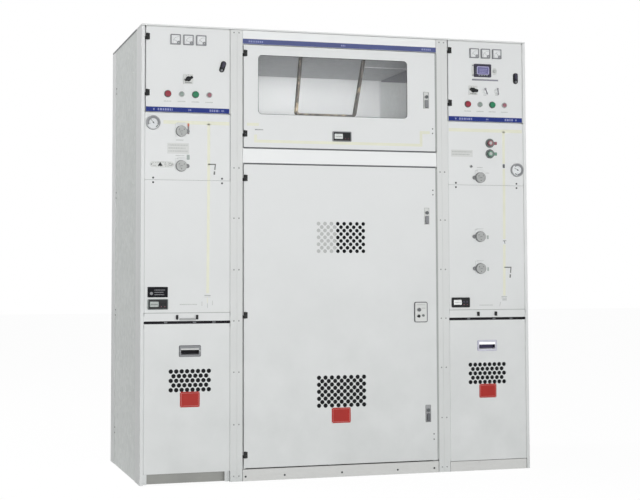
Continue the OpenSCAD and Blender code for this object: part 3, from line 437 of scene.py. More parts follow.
class Piece:
    """Small details in one mesh that rides on one body. x and z run along its panel, and out stands out of it."""

    def __init__(self, name, body, panel=None, slot=None):
        self.name, self.body, self.panel, self.slot = name, body, panel, slot
        self.mesh = bmesh.new()
        self.materials = []
        pieces.append(self)

    def on(self, panel):
        """What is drawn next lies on this panel."""
        self.panel = panel
        return self

    def loft(self, rings, material, hoop=False):
        """Joins rings, each an outline and how far out it lies. The ends are closed, or a hoop joins them."""
        if material not in self.materials:
            self.materials.append(material)
        loops = [[self.mesh.verts.new(self.panel.point(x, z, out)) for x, z in outline] for outline, out in rings]
        pairs = list(zip(loops, loops[1:]))
        if hoop:
            pairs.append((loops[-1], loops[0]))
        faces = []
        for a, b in pairs:
            for i in range(len(a)):
                j = (i + 1) % len(a)
                faces.append(self.mesh.faces.new((a[i], a[j], b[j], b[i])))
        if not hoop:
            faces += [self.mesh.faces.new(loops[0]), self.mesh.faces.new(loops[-1])]
        for face in faces:
            face.material_index = self.materials.index(material)
        bmesh.ops.recalc_face_normals(self.mesh, faces=faces)

    def bevelled(self, outline, front, back, shoulder, out, material):
        """An outline carried from back to shoulder and drawn in from there to its front outline."""
        self.loft([(outline, back), (outline, shoulder), (front, out)], material)

    def slab(self, outline, material, out, back=0):
        self.loft([(outline, back), (outline, out)], material)

    def plate(self, x0, z0, x1, z1, r, material, out, back=0, chamfer=0):
        """A round-cornered plate with a chamfered front edge."""
        rings = ((0, back), (0, out - chamfer), (chamfer, out)) if chamfer else ((0, back), (0, out))
        self.loft([(rounded(x0, z0, x1, z1, r, inset), at) for inset, at in rings], material)

    def bezel(self, x0, z0, x1, z1, r, wall, material, out, back=0, chamfer=0.5):
        """A frame round an opening."""
        rings = ((0, back), (0, out - chamfer), (chamfer, out), (wall - chamfer, out), (wall, back))
        self.loft([(rounded(x0, z0, x1, z1, r, inset), at) for inset, at in rings], material, hoop=True)

    def lathe(self, x, z, profile, material, steps=32):
        """A round shape from its profile of radius and height, back to front."""
        self.loft([(circle(x, z, r, steps), out) for r, out in profile], material)

    def tube(self, x, z, profile, material, steps=32):
        """A round shape with a hole: the profile runs round its wall."""
        self.loft([(circle(x, z, r, steps), out) for r, out in profile], material, hoop=True)

    def line(self, points, width=MIMIC_W, material=MIMIC, out=0.35, back=0):
        """A flat strip along a bent line, with mitred corners."""
        left, right = [], []
        for i, p in enumerate(points):
            before = Vector(p) - Vector(points[i - 1]) if i else None
            after = Vector(points[i + 1]) - Vector(p) if i + 1 < len(points) else None
            a = (before or after).normalized()
            b = (after or before).normalized()
            normal = Vector((-a.y - b.y, a.x + b.x)).normalized()
            reach = width / 2 / max(0.3, normal.dot(Vector((-a.y, a.x))))
            left.append((p[0] + normal.x * reach, p[1] + normal.y * reach))
            right.append((p[0] - normal.x * reach, p[1] - normal.y * reach))
        self.slab(left + right[::-1], material, out, back)

    def marks(self, x0, x1, z, height, material=GREY_PRINT, out=0.4, back=0):
        """A row of short plain bars, as small print looks from a few metres."""
        x = x0
        while x < x1 - 1:
            w = min(rng.uniform(0.5, 1.1) * height, x1 - x)
            self.slab(rect(x, z, x + w, z + height), material, out, back)
            x += w + 0.35 * height

    def screw(self, x, z, r, material, out=1.6, back=0):
        """A domed screw head with a hexagon socket."""
        rings = ((circle, 1, 0), (circle, 1, 0.45), (circle, 0.85, 0.8), (circle, 0.62, 1), (hexagon, 0.42, 1),
                 (hexagon, 0.4, 0.3))
        self.loft([(outline(x, z, k * r, 24), back + up * (out - back)) for outline, k, up in rings], material)

    def build(self):
        data = bpy.data.meshes.new(self.name)
        self.mesh.to_mesh(data)
        self.mesh.free()
        for material in self.materials:
            data.materials.append(material)
        data.polygons.foreach_set("use_smooth", [True] * len(data.polygons))
        data.set_sharp_from_angle(angle=radians(32))
        piece = placed(self.name, data)
        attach(piece, self.body)


# ---- panels of the row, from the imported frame

front_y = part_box("main_door")[0].y


def face_of(node, x_node=None):
    """The front of a node, or of the half of it that lines up with x_node."""
    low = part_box(node)[0]
    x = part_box(x_node)[0].x if x_node else low.x
    return Panel((x, front_y, low.z))


def size_of(node):
    low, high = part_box(node)
    return (high.x - low.x) / MM, (high.z - low.z) / MM


class Side:
    """One of the two side cabinets: its name, the body of its door and the faces of its pieces."""

    def __init__(self, name):
        self.name, self.body, cover = name, name + "_instrument_door", name + "_cable_cover"
        self.door, self.cable = face_of(self.body), face_of(cover)
        self.mechanism, self.main = face_of("mechanism_covers", cover), face_of("main_covers", cover)
        self.sill = face_of("sill_strips", cover)


left, right = sides = Side("left"), Side("right")
window_panel, main_panel = face_of("window_door"), face_of("main_door")
cover_w, main_cover_h = size_of("left_cable_cover")[0], size_of("main_covers")[1]
mechanism_h = size_of("mechanism_covers")[1]
door_w, door_h = size_of("left_instrument_door")


# ---- stripes and printed marks

STRIPE_H, HEADER_STRIPE_H, DOOR_GAP = 24, 25, 6


def stripe(p, z, width, height, material, groups):
    """A coloured band with a few groups of small plain marks."""
    p.plate(0.5, z + 0.5, width - 0.5, z + height, 0.5, material, 0.35)
    for x0, x1, tall in groups:
        p.marks(x0, x1, z + height / 2 - tall / 2, tall, PALE_PRINT, 0.6, 0.3)


DOOR_MARKS = [(36, 43, 9), (58, 130, 11), (208, 222, 8), (312, 360, 11), (371, 383, 9)]
for side in sides:
    stripe(Piece(side.name + "_door_stripe", side.body, side.door), 0, door_w, STRIPE_H, STRIPE, DOOR_MARKS)

header_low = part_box("window_door")[1].z / MM + DOOR_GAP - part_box("middle_rails")[0].z / MM
stripe(Piece("header_stripe", ROOT, face_of("middle_rails")), header_low, size_of("middle_rails")[0], HEADER_STRIPE_H,
       STRIPE_PALE, [(30, 106, 9), (506, 528, 8), (936, 986, 9)])


# ---- instrument doors

METER_RIM, METER_SUNK = 3.5, 2
SEAL_W = 5

# Foam seals on the upper and the free edge of each instrument door
for side in sides:
    p = Piece(side.name + "_door_seal", side.body, side.door)
    p.plate(1, door_h - 0.3, door_w + SEAL_W, door_h + SEAL_W, 1, SEAL, -1.2, -17, 0.6)
    p.plate(door_w - 0.3, 1, door_w + SEAL_W, door_h + SEAL_W, 1, SEAL, -1.2, -17, 0.6)


def meter(p, x, z, half, out, reading):
    """Panel meter: white dial sunk in its frame, quarter scale, needle and dark pivot cover."""
    edge = half - METER_RIM + 0.1
    face = out - METER_SUNK
    p.plate(*around(x, z, edge, edge), 1.5, DIAL, face + 0.25, face - 0.4)
    p.bezel(*around(x, z, edge + 0.4, edge + 0.4), 2, 2.4, METER_FRAME, out + 0.5, face, 0.5)
    px, pz, face = x + half - 12, z - half + 11, face + 0.3
    p.slab(arc_band(px, pz, 26.6, 27.3, 84, 186), NEEDLE, face + 0.1, face - 0.3)
    for k in range(11):
        p.line(spoke(px, pz, 86 + 9.8 * k, 25 if k % 5 else 23.5, 27), 0.45, NEEDLE, face + 0.1, face - 0.3)
    p.line(spoke(px, pz, reading, 0, 26), 0.9, NEEDLE, face + 0.6, face)
    corner = [(px - 7, pz - 6.5), (px + 7.5, pz - 6.5), (px + 7.5, pz + 7)]
    p.slab(corner + [spoke(px, pz, a, 7)[0] for a in range(90, 181, 10)], METER_FRAME, face + 1, face)
    p.lathe(px + 1.5, pz - 1, [(1.8, face), (1.8, face + 1.3), (1.3, face + 1.5)], BRIGHT_SCREW, 20)


READINGS = {"left": (150, 158, 146), "right": (152, 140, 134)}
for side in sides:
    node = side.name + "_meters"
    out = (front_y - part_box(node)[0].y) / MM
    width, height = size_of(node)
    half = height / 2
    p = Piece(side.name + "_meter_dials", side.body, face_of(node))
    for i, reading in enumerate(READINGS[side.name]):
        meter(p, half + i * (width - 2 * half) / 2, half, half, out, reading)


def push_button(p, x, z, r, out, lens, bezel, wall):
    """A bezel ring with a rounded lens over the button's head."""
    inner = r - wall
    p.tube(x, z, [(r + 0.3, 0), (r + 0.3, 4.4), (r - 0.8, 5.6), (inner + 0.9, 5.6), (inner + 0.4, 0)], bezel, 36)
    head = inner + 0.5
    p.lathe(x, z, [(head, 0), (head, out - 1.4), (0.94 * head, out - 0.4), (0.8 * head, out + 0.2),
                   (0.55 * head, out + 0.4), (0.2 * head, out + 0.3)], lens, 36)


BUTTONS_X, BUTTONS_PITCH, BUTTONS_Z = 106, 68, 88
for side in sides:
    p = Piece(side.name + "_button_lenses", side.body, side.door)
    for i, lens in enumerate((RED_LENS, GREY_LENS, GREEN_LENS, DIM_RED)):
        x = BUTTONS_X + i * BUTTONS_PITCH
        push_button(p, x, BUTTONS_Z, *((14, 9.3, lens, SATIN, 4.2) if i % 2 else (17, 14.3, lens, GUARD, 3.2)))
        p.marks(x - 19, x + 19, BUTTONS_Z - 38, 4.5)

ROTARY_W = 48


def rotary(p, x, z, turn):
    """Pale legend plate and a black knob with a bevelled wing, turned clockwise, over the switch."""
    half = ROTARY_W / 2
    p.plate(*around(x, z, half + 0.3, half + 0.3), 3, FAINT_PLATE, 4.4, 0, 0.6)
    for a in (60, 90, 120):
        p.line(spoke(x, z, a, 18, 22), 1.2, DARK_PRINT, 4.7, 4.2)
    p.marks(x - 16, x + 17, z - half + 3, 5, DARK_PRINT, 4.7, 4.2)
    p.lathe(x, z, [(12.4, 4), (12.4, 9.6), (11.6, 10.5), (9.5, 10.8)], BLACK, 40)
    wing = turned(rounded(*around(x, z, 19.3, 6.3), 4), x, z, -turn)
    slim = turned(rounded(*around(x, z, 18.2, 4.8), 3.4), x, z, -turn)
    p.bevelled(wing, slim, 4, 24.3, 25.9, BLACK)


def swing_handle(p, x, z, turn):
    """Swing handle: bevelled handle on its escutcheon, with the key barrel at the lower end."""
    # The handle in the lighter relay plastic is a painted highlight on its front.
    for outline, front, back, shoulder, out, material in (
            (rounded(*around(x, z, 12.8, 28.3), 12.3), rounded(*around(x, z, 11.2, 26.7), 10.7), 0, 4.8, 6.4, BLACK),
            (rounded(x - 8.3, z - 9.3, x + 8.3, z + 25.3, 5.3), rounded(x - 5.8, z - 6, x + 5.8, z + 22.8, 4),
             5, 12.5, 15.8, RELAY_CASE),
            (circle(x, z - 19, 6.8), circle(x, z - 19, 5.8), 5, 10.6, 11.5, METER_CASE)):
        p.bevelled(turned(outline, x, z, -turn), turned(front, x, z, -turn), back, shoulder, out, material)
    p.slab(turned(rect(x - 0.8, z - 23, x + 0.8, z - 15), x, z, -turn), SATIN, 11.8, 11)


p = Piece("left_door_fittings", left.body, left.door)
rotary(p, 206, 163, -25)
swing_handle(p, 376, 229, 17)

KEY_Z, BUZZER = 157, (258, 263)
p = Piece("right_door_fittings", right.body, right.door)
rotary(p, 136, 161, 15)
swing_handle(p, 374, 230, 0)
for x, lean in ((203, 22), (269, 4)):
    p.tube(x, KEY_Z, [(13.4, 0), (13.4, 4.6), (12.4, 5.8), (9.6, 5.8), (9.2, 0)], RAIL, 36)
    p.lathe(x, KEY_Z, [(9.6, 5), (9.6, 15.4), (9, 16.3), (7.5, 16.4)], RAIL, 36)
    bow, front = (turned(rounded(*around(x, KEY_Z, a, b), a), x, KEY_Z, lean) for a, b in ((2.6, 18), (1.8, 17)))
    p.bevelled(bow, front, 16, 20.5, 22, KEY)
    p.lathe(*turned([(x, KEY_Z + 13)], x, KEY_Z, lean)[0], [(4.4, 15.8), (4.4, 21.4), (3.6, 22.6)], KEY, 24)
    p.marks(x - 9, x + 9, 136, 4)
base, front = (rounded(*around(*BUZZER, a, b), a) for a, b in ((11.5, 18.5), (10.6, 17.6)))
p.bevelled(base, front, 0, 1.4, 2, FAINT_PLATE)
p.lathe(*BUZZER, [(9.3, 0), (9.3, 6), (8.6, 8.2), (6, 8.7)], GREY_PRINT, 28)

# Protection relay: frame, lit screen with plain rows, and keys beside it, over the ledge
LEDGE = (132, 213, 276, 219)
RELAY_AT, RELAY_W, RELAY_H, RELAY_T, RELAY_SUNK = (142, 231), 92, 66, 12, 2
p = Piece("relay_face", right.body, right.door)
x0, z0 = RELAY_AT
sunk = RELAY_T - RELAY_SUNK
p.bezel(*grown(x0, z0, x0 + RELAY_W, z0 + RELAY_H, 0.3), 3, 5.1, RELAY_CASE, RELAY_T + 0.4, 0, 0.8)
p.plate(x0 - 12, z0 + 3, x0 - 0.6, z0 + RELAY_H - 2, 2, FAINT_PLATE, 3, 0, 0.6)
p.plate(LEDGE[0] - 0.4, LEDGE[1] - 0.6, LEDGE[2] + 0.4, LEDGE[3] + 0.8, 1, LEDGE_GREY, 3.4, 0, 0.6)
for z in (z0 + 8, z0 + RELAY_H - 8):
    p.lathe(x0 - 6, z, [(3, 3), (3, 4.2), (2, 4.8)], METER_CASE, 20)
p.bezel(x0 + 13, z0 + 12, x0 + 81, z0 + 54, 7, 4, SCREEN_RIM, sunk + 1.4, sunk - 1, 0.5)
p.plate(x0 + 16, z0 + 15, x0 + 78, z0 + 51, 4, SCREEN, sunk + 0.5, sunk - 1)
for k, (a, b) in enumerate(((26, 70), (28, 66), (26, 62))):
    p.marks(x0 + a, x0 + b, z0 + 37 - 8 * k, 4, SCREEN_TEXT, sunk + 0.7, sunk)
for k in range(4):
    p.lathe(x0 + 8.5, z0 + 16 + 9 * k, [(1.7, sunk - 1), (1.7, sunk + 0.9), (1, sunk + 1.3)],
            GREEN_LENS if k == 3 else GREY_LENS, 16)
for k in range(4):
    p.plate(x0 + 22 + 14 * k, z0 + 5.6, x0 + 31 + 14 * k, z0 + 9.4, 1.4, GREY_FLAG, sunk + 1.4, sunk - 1, 0.4)


# ---- fittings on the fixed covers

def gas_gauge(p, x, z, start, end, reading):
    """Gas gauge: rolled ring, white dial with a dark zone band, ticks, needle and hub."""
    floor, rim = 13, 16
    p.tube(x, z, [(34.6, 0), (34.6, 13), (33.4, rim), (31, rim + 0.6), (29.6, rim - 0.4), (29.6, 12)], RING, 48)
    p.lathe(x, z, [(29.9, 12), (29.9, floor + 0.2)], GAUGE_FACE, 48)
    p.slab(arc_band(x, z, 20, 29.4, start, end, 40), METER_FRAME, floor + 0.9, floor)
    p.slab(arc_band(x, z, 21.5, 26.5, end - 34, end - 6, 10), GUARD, floor + 1.1, floor)
    for k in range(9):
        p.line(spoke(x, z, start + (end - start) * k / 8, 13.5, 16.5), 0.9, NEEDLE, floor + 0.5, floor)
    p.line(spoke(x, z, reading, -7, 21), 2, NEEDLE, floor + 1.7, floor + 0.7)
    p.lathe(x, z, [(3.6, floor), (3.6, floor + 1.8), (2.4, floor + 2.3)], NEEDLE, 24)


def shaft_cap(p, x, z, side):
    """Turned rim, dished face and slotted plug on a shaft cover, over painted base plate and hasp."""
    p.plate(x - 26.3, z - 26.3, x + 26.3, z + 40.3, 3, PAINT, 4.35, 0, 0.5)
    p.plate(x - 19.3, z + 33.7, x + 19.3, z + 38.3, 1, PAINT, 14.4, 4, 0.4)
    p.line([(x - 19, z + 40.6), (x + 19, z + 40.6)], 1.4, GREY_PRINT, 4.7, 4)
    p.tube(x, z, [(26.4, 0), (26.4, 18.4), (24.8, 20.7), (22.4, 20.7), (20.9, 19.2), (20.9, 17)], DISC, 48)
    p.tube(x, z, [(27.4, 4), (27.4, 8), (26, 8), (26, 4)], METER_CASE, 48)
    p.tube(x, z, [(21.2, 17.5), (21.2, 18.4), (9.2, 18.4), (9.2, 17.5)], DISC, 48)
    p.lathe(x, z, [(9.4, 17.5), (9.4, 20.2), (8.5, 20.9), (7, 20.9)], DISC, 32)
    p.line([(x - 6, z), (x + 6, z)], 1.8, NEEDLE, 21.1, 20.5)
    for a in (35, 145, 270):
        p.screw(*spoke(x, z, a, 15)[0], 2.2, SCREW, 19.6, 18)
    p.tube(x + side * 30, z, [(10.2, 0), (10.2, 9.6), (9.4, 10.6), (2.6, 10.6), (2, 9.8), (2, 0)], LUG, 36)


def flag(p, x, z):
    """A small position flag in its frame."""
    p.bezel(*around(x, z, 6, 10.5), 2, 2, FAINT_PLATE, 2, 0, 0.4)
    p.plate(*around(x, z, 4.2, 8.7), 1, GREY_FLAG, 1.2)


def switch_mark(p, x, z, wide, tall):
    """The angled line of a switch on the mimic diagram."""
    p.line([(x, z), (x + wide, z), (x + wide - 3, z - 0.55 * tall)], 5.5, DARK_PRINT)
    p.line([(x + wide - 4, z - 0.68 * tall), (x + wide - 5.5, z - tall)], 7.5, DARK_PRINT)


def capacitor(p, x, z, w):
    """Two short plates, as a divider is drawn."""
    p.line([(x - w / 2, z + 3.5), (x + w / 2, z + 3.5)], 2.2, DARK_PRINT)
    p.line([(x - w / 2, z - 3.5), (x + w / 2, z - 3.5)], 2.2, GREY_PRINT)


def worded_plate(p, x0, z0, x1, z1, rows):
    """A faint printed plate with rows of plain marks."""
    p.plate(x0, z0, x1, z1, 3, FAINT_PLATE, 0.5)
    step = (z1 - z0) / (rows + 0.6)
    for k in range(rows):
        p.marks(x0 + 6, x1 - 6 - 10 * (k % 2), z1 - (k + 0.95) * step, 0.45 * step, GREY_PRINT, 0.75, 0.4)


DISPLAY_W, DISPLAY_H, DISPLAY_OUT, DISPLAY_SUNK = 97, 50, 8, 1.5


def display(p, x0, z0, screen=PALE_SCREEN, lamps=RELAY_CASE, case=BLACK):
    """Voltage display: pale screen sunk at the left, keys and lamps at the right."""
    x1, z1, face = x0 + DISPLAY_W, z0 + DISPLAY_H, DISPLAY_OUT - DISPLAY_SUNK
    p.plate(*grown(x0, z0, x1, z1, -3.9), 1.5, BLACK, face + 0.2, face - 1)
    p.bezel(*grown(x0, z0, x1, z1, 0.3), 5, 4.4, case, DISPLAY_OUT + 0.5, 0, 0.8)
    p.plate(x0 + 10, z0 + 13, x0 + 52, z0 + 38, 2, screen, face + 0.5, face - 1)
    for k in range(3):
        p.marks(x0 + 15, x0 + 48, z0 + 30 - 7.5 * k, 4, DARK_PRINT if k == 1 else GREY_PRINT, face + 0.7, face)
    for k in range(2):
        p.lathe(x0 + 65 + 17 * k, z0 + 28, [(5, face - 1), (5, face + 1.4), (4, face + 2)], lamps, 24)
        p.lathe(x0 + 65 + 17 * k, z0 + 14, [(2, face - 1), (2, face + 0.9), (1.2, face + 1.4)], DIM_RED, 16)


p = Piece("gauge_dials", ROOT)
gas_gauge(p.on(left.mechanism), 39, 273, 205, -25, 130)
gas_gauge(p.on(right.mechanism), 380, 80, 130, -95, 150)

MAIN_SHAFTS = [(170, main_cover_h - 263), (170, main_cover_h - 426)]
p = Piece("shaft_cover_caps", ROOT, slot="fitting_metal")
for panel, lug_side, places in ((left.mechanism, 1, [(176, 235), (176, 67)]), (right.mechanism, -1, [(173, 37)]),
                                (right.main, -1, MAIN_SHAFTS)):
    for at in places:
        shaft_cap(p.on(panel), *at, lug_side)

# Left covers: flags, position indicator, plate and mimic diagram
p = Piece("left_cover_marks", ROOT, left.mechanism)
p.plate(207.5, 222, 215.5, 272, 1.5, FLAG_STRIP, 2.2, 0, 0.4)
p.plate(207, 260, 216, 274, 1.5, ORANGE, 3, 0, 0.4)
p.plate(204, 98, 218, 122, 2, GREY_FLAG, 2, 0, 0.4)
worded_plate(p, 109, 126, 215, 178, 3)
p.marks(152, 188, 190, 4.5)
p.marks(150, 192, 115, 4)
p.line([(90, 278), (414, 278)], MIMIC_W + 3, MIMIC)
p.line([(312, 275), (312, 0)])
switch_mark(p, 309, 78, 36, 50)
OVAL, OVAL_A, OVAL_B = (83, 73.5), 58, 14.5
p.plate(*around(*OVAL, OVAL_A + 0.3, OVAL_B + 0.3), 14.3, FAINT_PLATE, 4.35, 0, 0.4)
for k in range(40):
    if k % 4 != 3:
        t = 2 * pi * k / 40
        p.slab(circle(OVAL[0] + (OVAL_A - 5) * cos(t), OVAL[1] + (OVAL_B - 4.5) * sin(t), 1.6, 8), DARK_PRINT, 4.7, 4)
p.slab([(62, 66), (74, 85), (86, 66)], BLACK, 5.5, 3.8)
p.slab(circle(74, 70, 5, 20), BLACK, 6, 3.8)
p.slab([(92, 73.5), (99, 80), (106, 73.5), (99, 67)], GREY_PRINT, 4.7, 4)
p.tube(122, 73.5, [(7, 4), (7, 4.8), (5, 4.8), (5, 4)], DARK_PRINT, 24)
p.on(left.main)
p.line([(312, main_cover_h), (308, 92)])
capacitor(p, 307, 78, 30)
for x, z in ((280, 41), (307, 32), (332, 45)):
    p.line([(x, z + 12), (x, z - 10)], 2.4, GREY_PRINT)
p.line([(307, 72), (307, 46)], 3, MIMIC)
p.marks(172, 256, 37, 4.5)

p = Piece("left_cover_plates", ROOT, left.main)
p.plate(16, 74, 114, 124, 3, MATT, 1.2, 0, 0.3)
for k, (a, b) in enumerate(((50, 100), (50, 92), (50, 96))):
    p.marks(a, b, 107 - 11 * k, 4, METER_FRAME, 1.45, 1)
p.slab(circle(35, 93, 7.5, 24), METER_FRAME, 1.45, 1)
display(p, 17, 16, DIM_SCREEN, BLACK, GUARD)

# Right covers: plate, mimic diagram, lock, flags and voltage display
p = Piece("right_cover_marks", ROOT, right.mechanism)
worded_plate(p, 16, 143, 135, 179, 2)
p.line([(5, 281), (cover_w - 6, 281)], MIMIC_W + 3, MIMIC)
p.line([(308, 278), (308, 112)])
p.line([(308, 86), (308, 0)])
p.plate(302, 90, 313, 109, 2, METER_CASE, 2.5, 0, 0.5)
p.lathe(125, 94, [(8, 0), (8, 3), (7, 4)], SATIN, 28)
p.slab([(118, 91), (133, 91), (126, 102)], METER_CASE, 5.5, 3)
p.marks(158, 190, 88, 4)
p.marks(206, 226, 60, 4)
p.on(right.main)
p.line([(308, main_cover_h), (306, 360)])
p.line([(306, 332), (303, 70)])
p.line([(299, 351), (317, 351)], 3.2, DARK_PRINT)
p.line([(306, 350), (310, 336)], 3.2, DARK_PRINT)
switch_mark(p, 304, 215, 38, 53)
for _, z in MAIN_SHAFTS:
    flag(p, 214, z - 3)
capacitor(p, 302, 60, 30)
capacitor(p, 304, 48, 24)
p.line([(281, 38), (277, 16)], 2.6, GREY_PRINT)
p.marks(165, 238, 20, 4.5)
display(p, 12, 12)

# Pushers of the circuit breaker: coloured heads in dark guards
p = Piece("pusher_heads", ROOT, right.mechanism, "button_plastic")
for z, lens in ((216, PUSH_RED), (161, PUSH_GREEN)):
    p.tube(230, z, [(23.4, 0), (23.4, 6), (22, 7.4), (17, 7.4), (16.2, 6.6), (16.2, 2.4)], GUARD, 48)
    p.lathe(230, z, [(14.3, 2), (14.3, 15), (13.2, 16.4), (10, 16.6), (6, 15.9)], lens, 36)
    p.lathe(230, z, [(8, 15.8), (8, 16.9), (7, 17.2)], GREY_PRINT, 28)
    p.plate(254, z - 8.3, 268.3, z + 8.3, 4, lens, 7, 0, 1)


# ---- cable covers, window door and main door

def red_plate(p, x0, z0, x1, z1):
    """A plain red plate with a thin border and four rivets."""
    p.plate(x0, z0, x1, z1, 3, RED_PLATE, 1.2, 0, 0.3)
    p.bezel(*grown(x0, z0, x1, z1, -6), 2, 1.2, PINK_PRINT, 1.45, 1, 0.1)
    for x in (x0 + 3, x1 - 3):
        for z in (z0 + 3, z1 - 3):
            p.lathe(x, z, [(1.8, 1), (1.8, 1.8), (1.1, 2.3)], BRIGHT_SCREW, 16)


p = Piece("cable_cover_plates", ROOT)
red_plate(p.on(left.cable), 174, 310, 270, 384)
red_plate(p.on(right.cable), 159, 313, 253, 383)

# Flush pulls: dark lining of the cup under the lip, the right pull's bright lip, bluish cup and lavender edge as
# painted reflection
PULL_W, PULL_H, PULL_DEPTH, PULL_LIP = 92, 40, 24, 14
low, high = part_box("cover_pulls")
pull_z = (low.z + high.z) / 2 / MM
p = Piece("pull_linings", ROOT, slot="pull_metal")
for x in (low.x + (PULL_W / 2 + 7) * MM, high.x - (PULL_W / 2 + 7) * MM):
    p.on(Panel((x, front_y, 0)))
    w, z0, z1 = PULL_W / 2 - 2.2, pull_z - PULL_H / 2 + 2.2, pull_z + PULL_H / 2 - 2.2
    back = 2.4 - PULL_DEPTH
    # The left pull's darker greys and top line are painted shade, the right pull's bright and bluish parts painted
    # reflection.
    painted_dark = x < 0
    if painted_dark:
        deep, edge, cup, band, tall = CUP, METER_CASE, METER_FRAME, SATIN, 8
    else:
        deep, edge, cup, band, tall = CUP_BLUE, PULL_EDGE, PAINTED_HIGHLIGHT, PAINTED_HIGHLIGHT, 13
    p.slab(rect(-w, z0, w, z1), deep, back, back - 0.3)
    p.slab(rect(-w, z0 + 8, -w + 0.5, z1), CUP, -2.5, back)
    p.slab(rect(w - 0.5, z0 + 8, w, z1), CUP, -2.5, back)
    p.loft([(rect(-w, z0, w, z0 + 0.5), 1.2), (rect(-w, z0, w, z0 + 4), -12)], cup)
    p.bezel(-PULL_W / 2 - 7.4, z0 - 9.6, PULL_W / 2 + 7.4, z1 + 9.6, 5.4, 2.2, edge, 2.8, 0.2, 0.6)
    p.plate(-PULL_W / 2 - 7.2, z0 - 9, -PULL_W / 2 - 3, z1 + 9, 2, edge, 3, 2, 0.3)
    if painted_dark:
        p.line([(-w - 6, z1 + 7.5), (w + 6, z1 + 7.5)], 2.4, METER_CASE, 3, 2)
    lip = z1 - PULL_LIP + 2.2
    p.loft([(rect(-w, lip, w, lip + tall), 1), (rect(-w, lip - 0.5, w, lip + tall - 2), 3)], band)
    for sx in (-1, 1):
        p.screw(sx * (PULL_W / 2 + 3.4), pull_z, 2.2, BRIGHT_SCREW, 3.2, 2)

WINDOW = (73, 163, 852, 456)
p = Piece("window_gasket", WINDOW_DOOR, window_panel)
p.bezel(*grown(*WINDOW, 0.5), 20, 3, RUBBER, -0.6, -2.1, 0.5)

p = Piece("window_door_marks", WINDOW_DOOR, window_panel)
p.line([(60, 62), (60, 30), (925, 30), (925, 95), (972, 95)])
p.line([(16, 112), (76, 112)])
p.marks(57, 99, 84, 5, DARK_PRINT)
for z in (115, 92):
    p.screw(988, z, 3.2, SCREW)
display(p, 454, 38, BRIGHT_SCREEN, BLACK, METER_FRAME)

p = Piece("main_door_plate", MAIN_DOOR, main_panel)
red_plate(p, 444, 201, 542, 276)
for x, z in ((986, 1356), (986, 1333), (982, 130), (982, 104)):
    p.screw(x, z, 3.2, SCREW)

# A pale baffle behind the left columns of the upper vent
p = Piece("vent_baffle", MAIN_DOOR, main_panel, "paint")
p.plate(362, 1032, 471, 1196, 4, BAFFLE, -2.6, -3.4, 0.3)
for x in (366, 467):
    for z in (1036, 1192):
        p.lathe(x, z, [(3, -3.2), (3, -2.2), (2.5, -2.1)], BRIGHT_SCREW, 16)


def vent_rims(p, x, z, rows, pitch, row_pitch, r, reach):
    """A dark rim of painted shade round every hole of a staggered vent centred on x, z."""
    for i in range(rows):
        holes = 8 - i % 2
        for k in range(holes):
            at = (x + (k - (holes - 1) / 2) * pitch, z + (i - (rows - 1) / 2) * row_pitch)
            p.tube(*at, [(r + reach, -0.1), (r + reach, 0.2), (r - 0.2, 0.2), (r - 0.2, -0.1)], RIM_SHADE, 16)


# Dark sheets behind the vents and dark rims round their holes where they show, painted shade of the holes
VENT_X, VENT_LOW, VENT_HIGH, CABLE_VENT_Z = 496, 356, size_of("main_door")[1] - 355, 437
MAT, CABLE_MAT = (140, 86), (112, 64)
p = Piece("door_vent_shade", MAIN_DOOR, main_panel, "black_plastic")
for z in (VENT_LOW, VENT_HIGH):
    p.plate(*around(VENT_X, z, *MAT), 6, HOLE_SHADE, -4.2, -7.5, 0.6)
vent_rims(p, VENT_X, VENT_LOW, 9, 33.3, 17, 9.5, 1.5)
p = Piece("cable_vent_shade", ROOT, slot="black_plastic")
for side, x in ((left, 222), (right, 204)):
    p.on(side.cable).plate(*around(x, CABLE_VENT_Z, *CABLE_MAT), 6, HOLE_SHADE, -3.2, -6.5, 0.6)
    vent_rims(p, x, CABLE_VENT_Z, 5, 26.4, 22, 9, 1.8)

# Grey strips on the free sides of the middle doors, and dark and grey strips in and beside the gaps round them, painted
# shade of the door edges and gaps
for node in (MAIN_DOOR, WINDOW_DOOR):
    w, h = size_of(node)
    Piece(node + "_edge", node, face_of(node)).plate(w - 2.5, 2, w + 3.6, h - 2, 0.5, EDGE_SHADE, 0.5, -12, 0.2)
p = Piece("middle_gap_shade", ROOT)
for node, z in ((MAIN_DOOR, size_of(MAIN_DOOR)[1] + 1.2), (WINDOW_DOOR, -4.8)):
    w, h = size_of(node)
    # Dark strip in the gap and dark line on the rail beside it: painted shadow. Grey strips in the side gap and on the
    # post: painted shade.
    p.on(face_of(node)).plate(2, z, w - 2, z + 3.8, 0.5, METER_CASE, -1, -8)
    lip = z + 4.8 if z > 0 else z - 3.2
    p.plate(0, lip, w, lip + 2, 0.3, METER_FRAME, 0.4, -0.2)
    p.plate(w + 4.4, 2, w + 5.9, h - 2, 0.3, EDGE_SHADE, 0, -8)
    p.plate(w + 6, 0, w + 9, h, 0.3, GREY_PRINT, 0.3, -0.2)

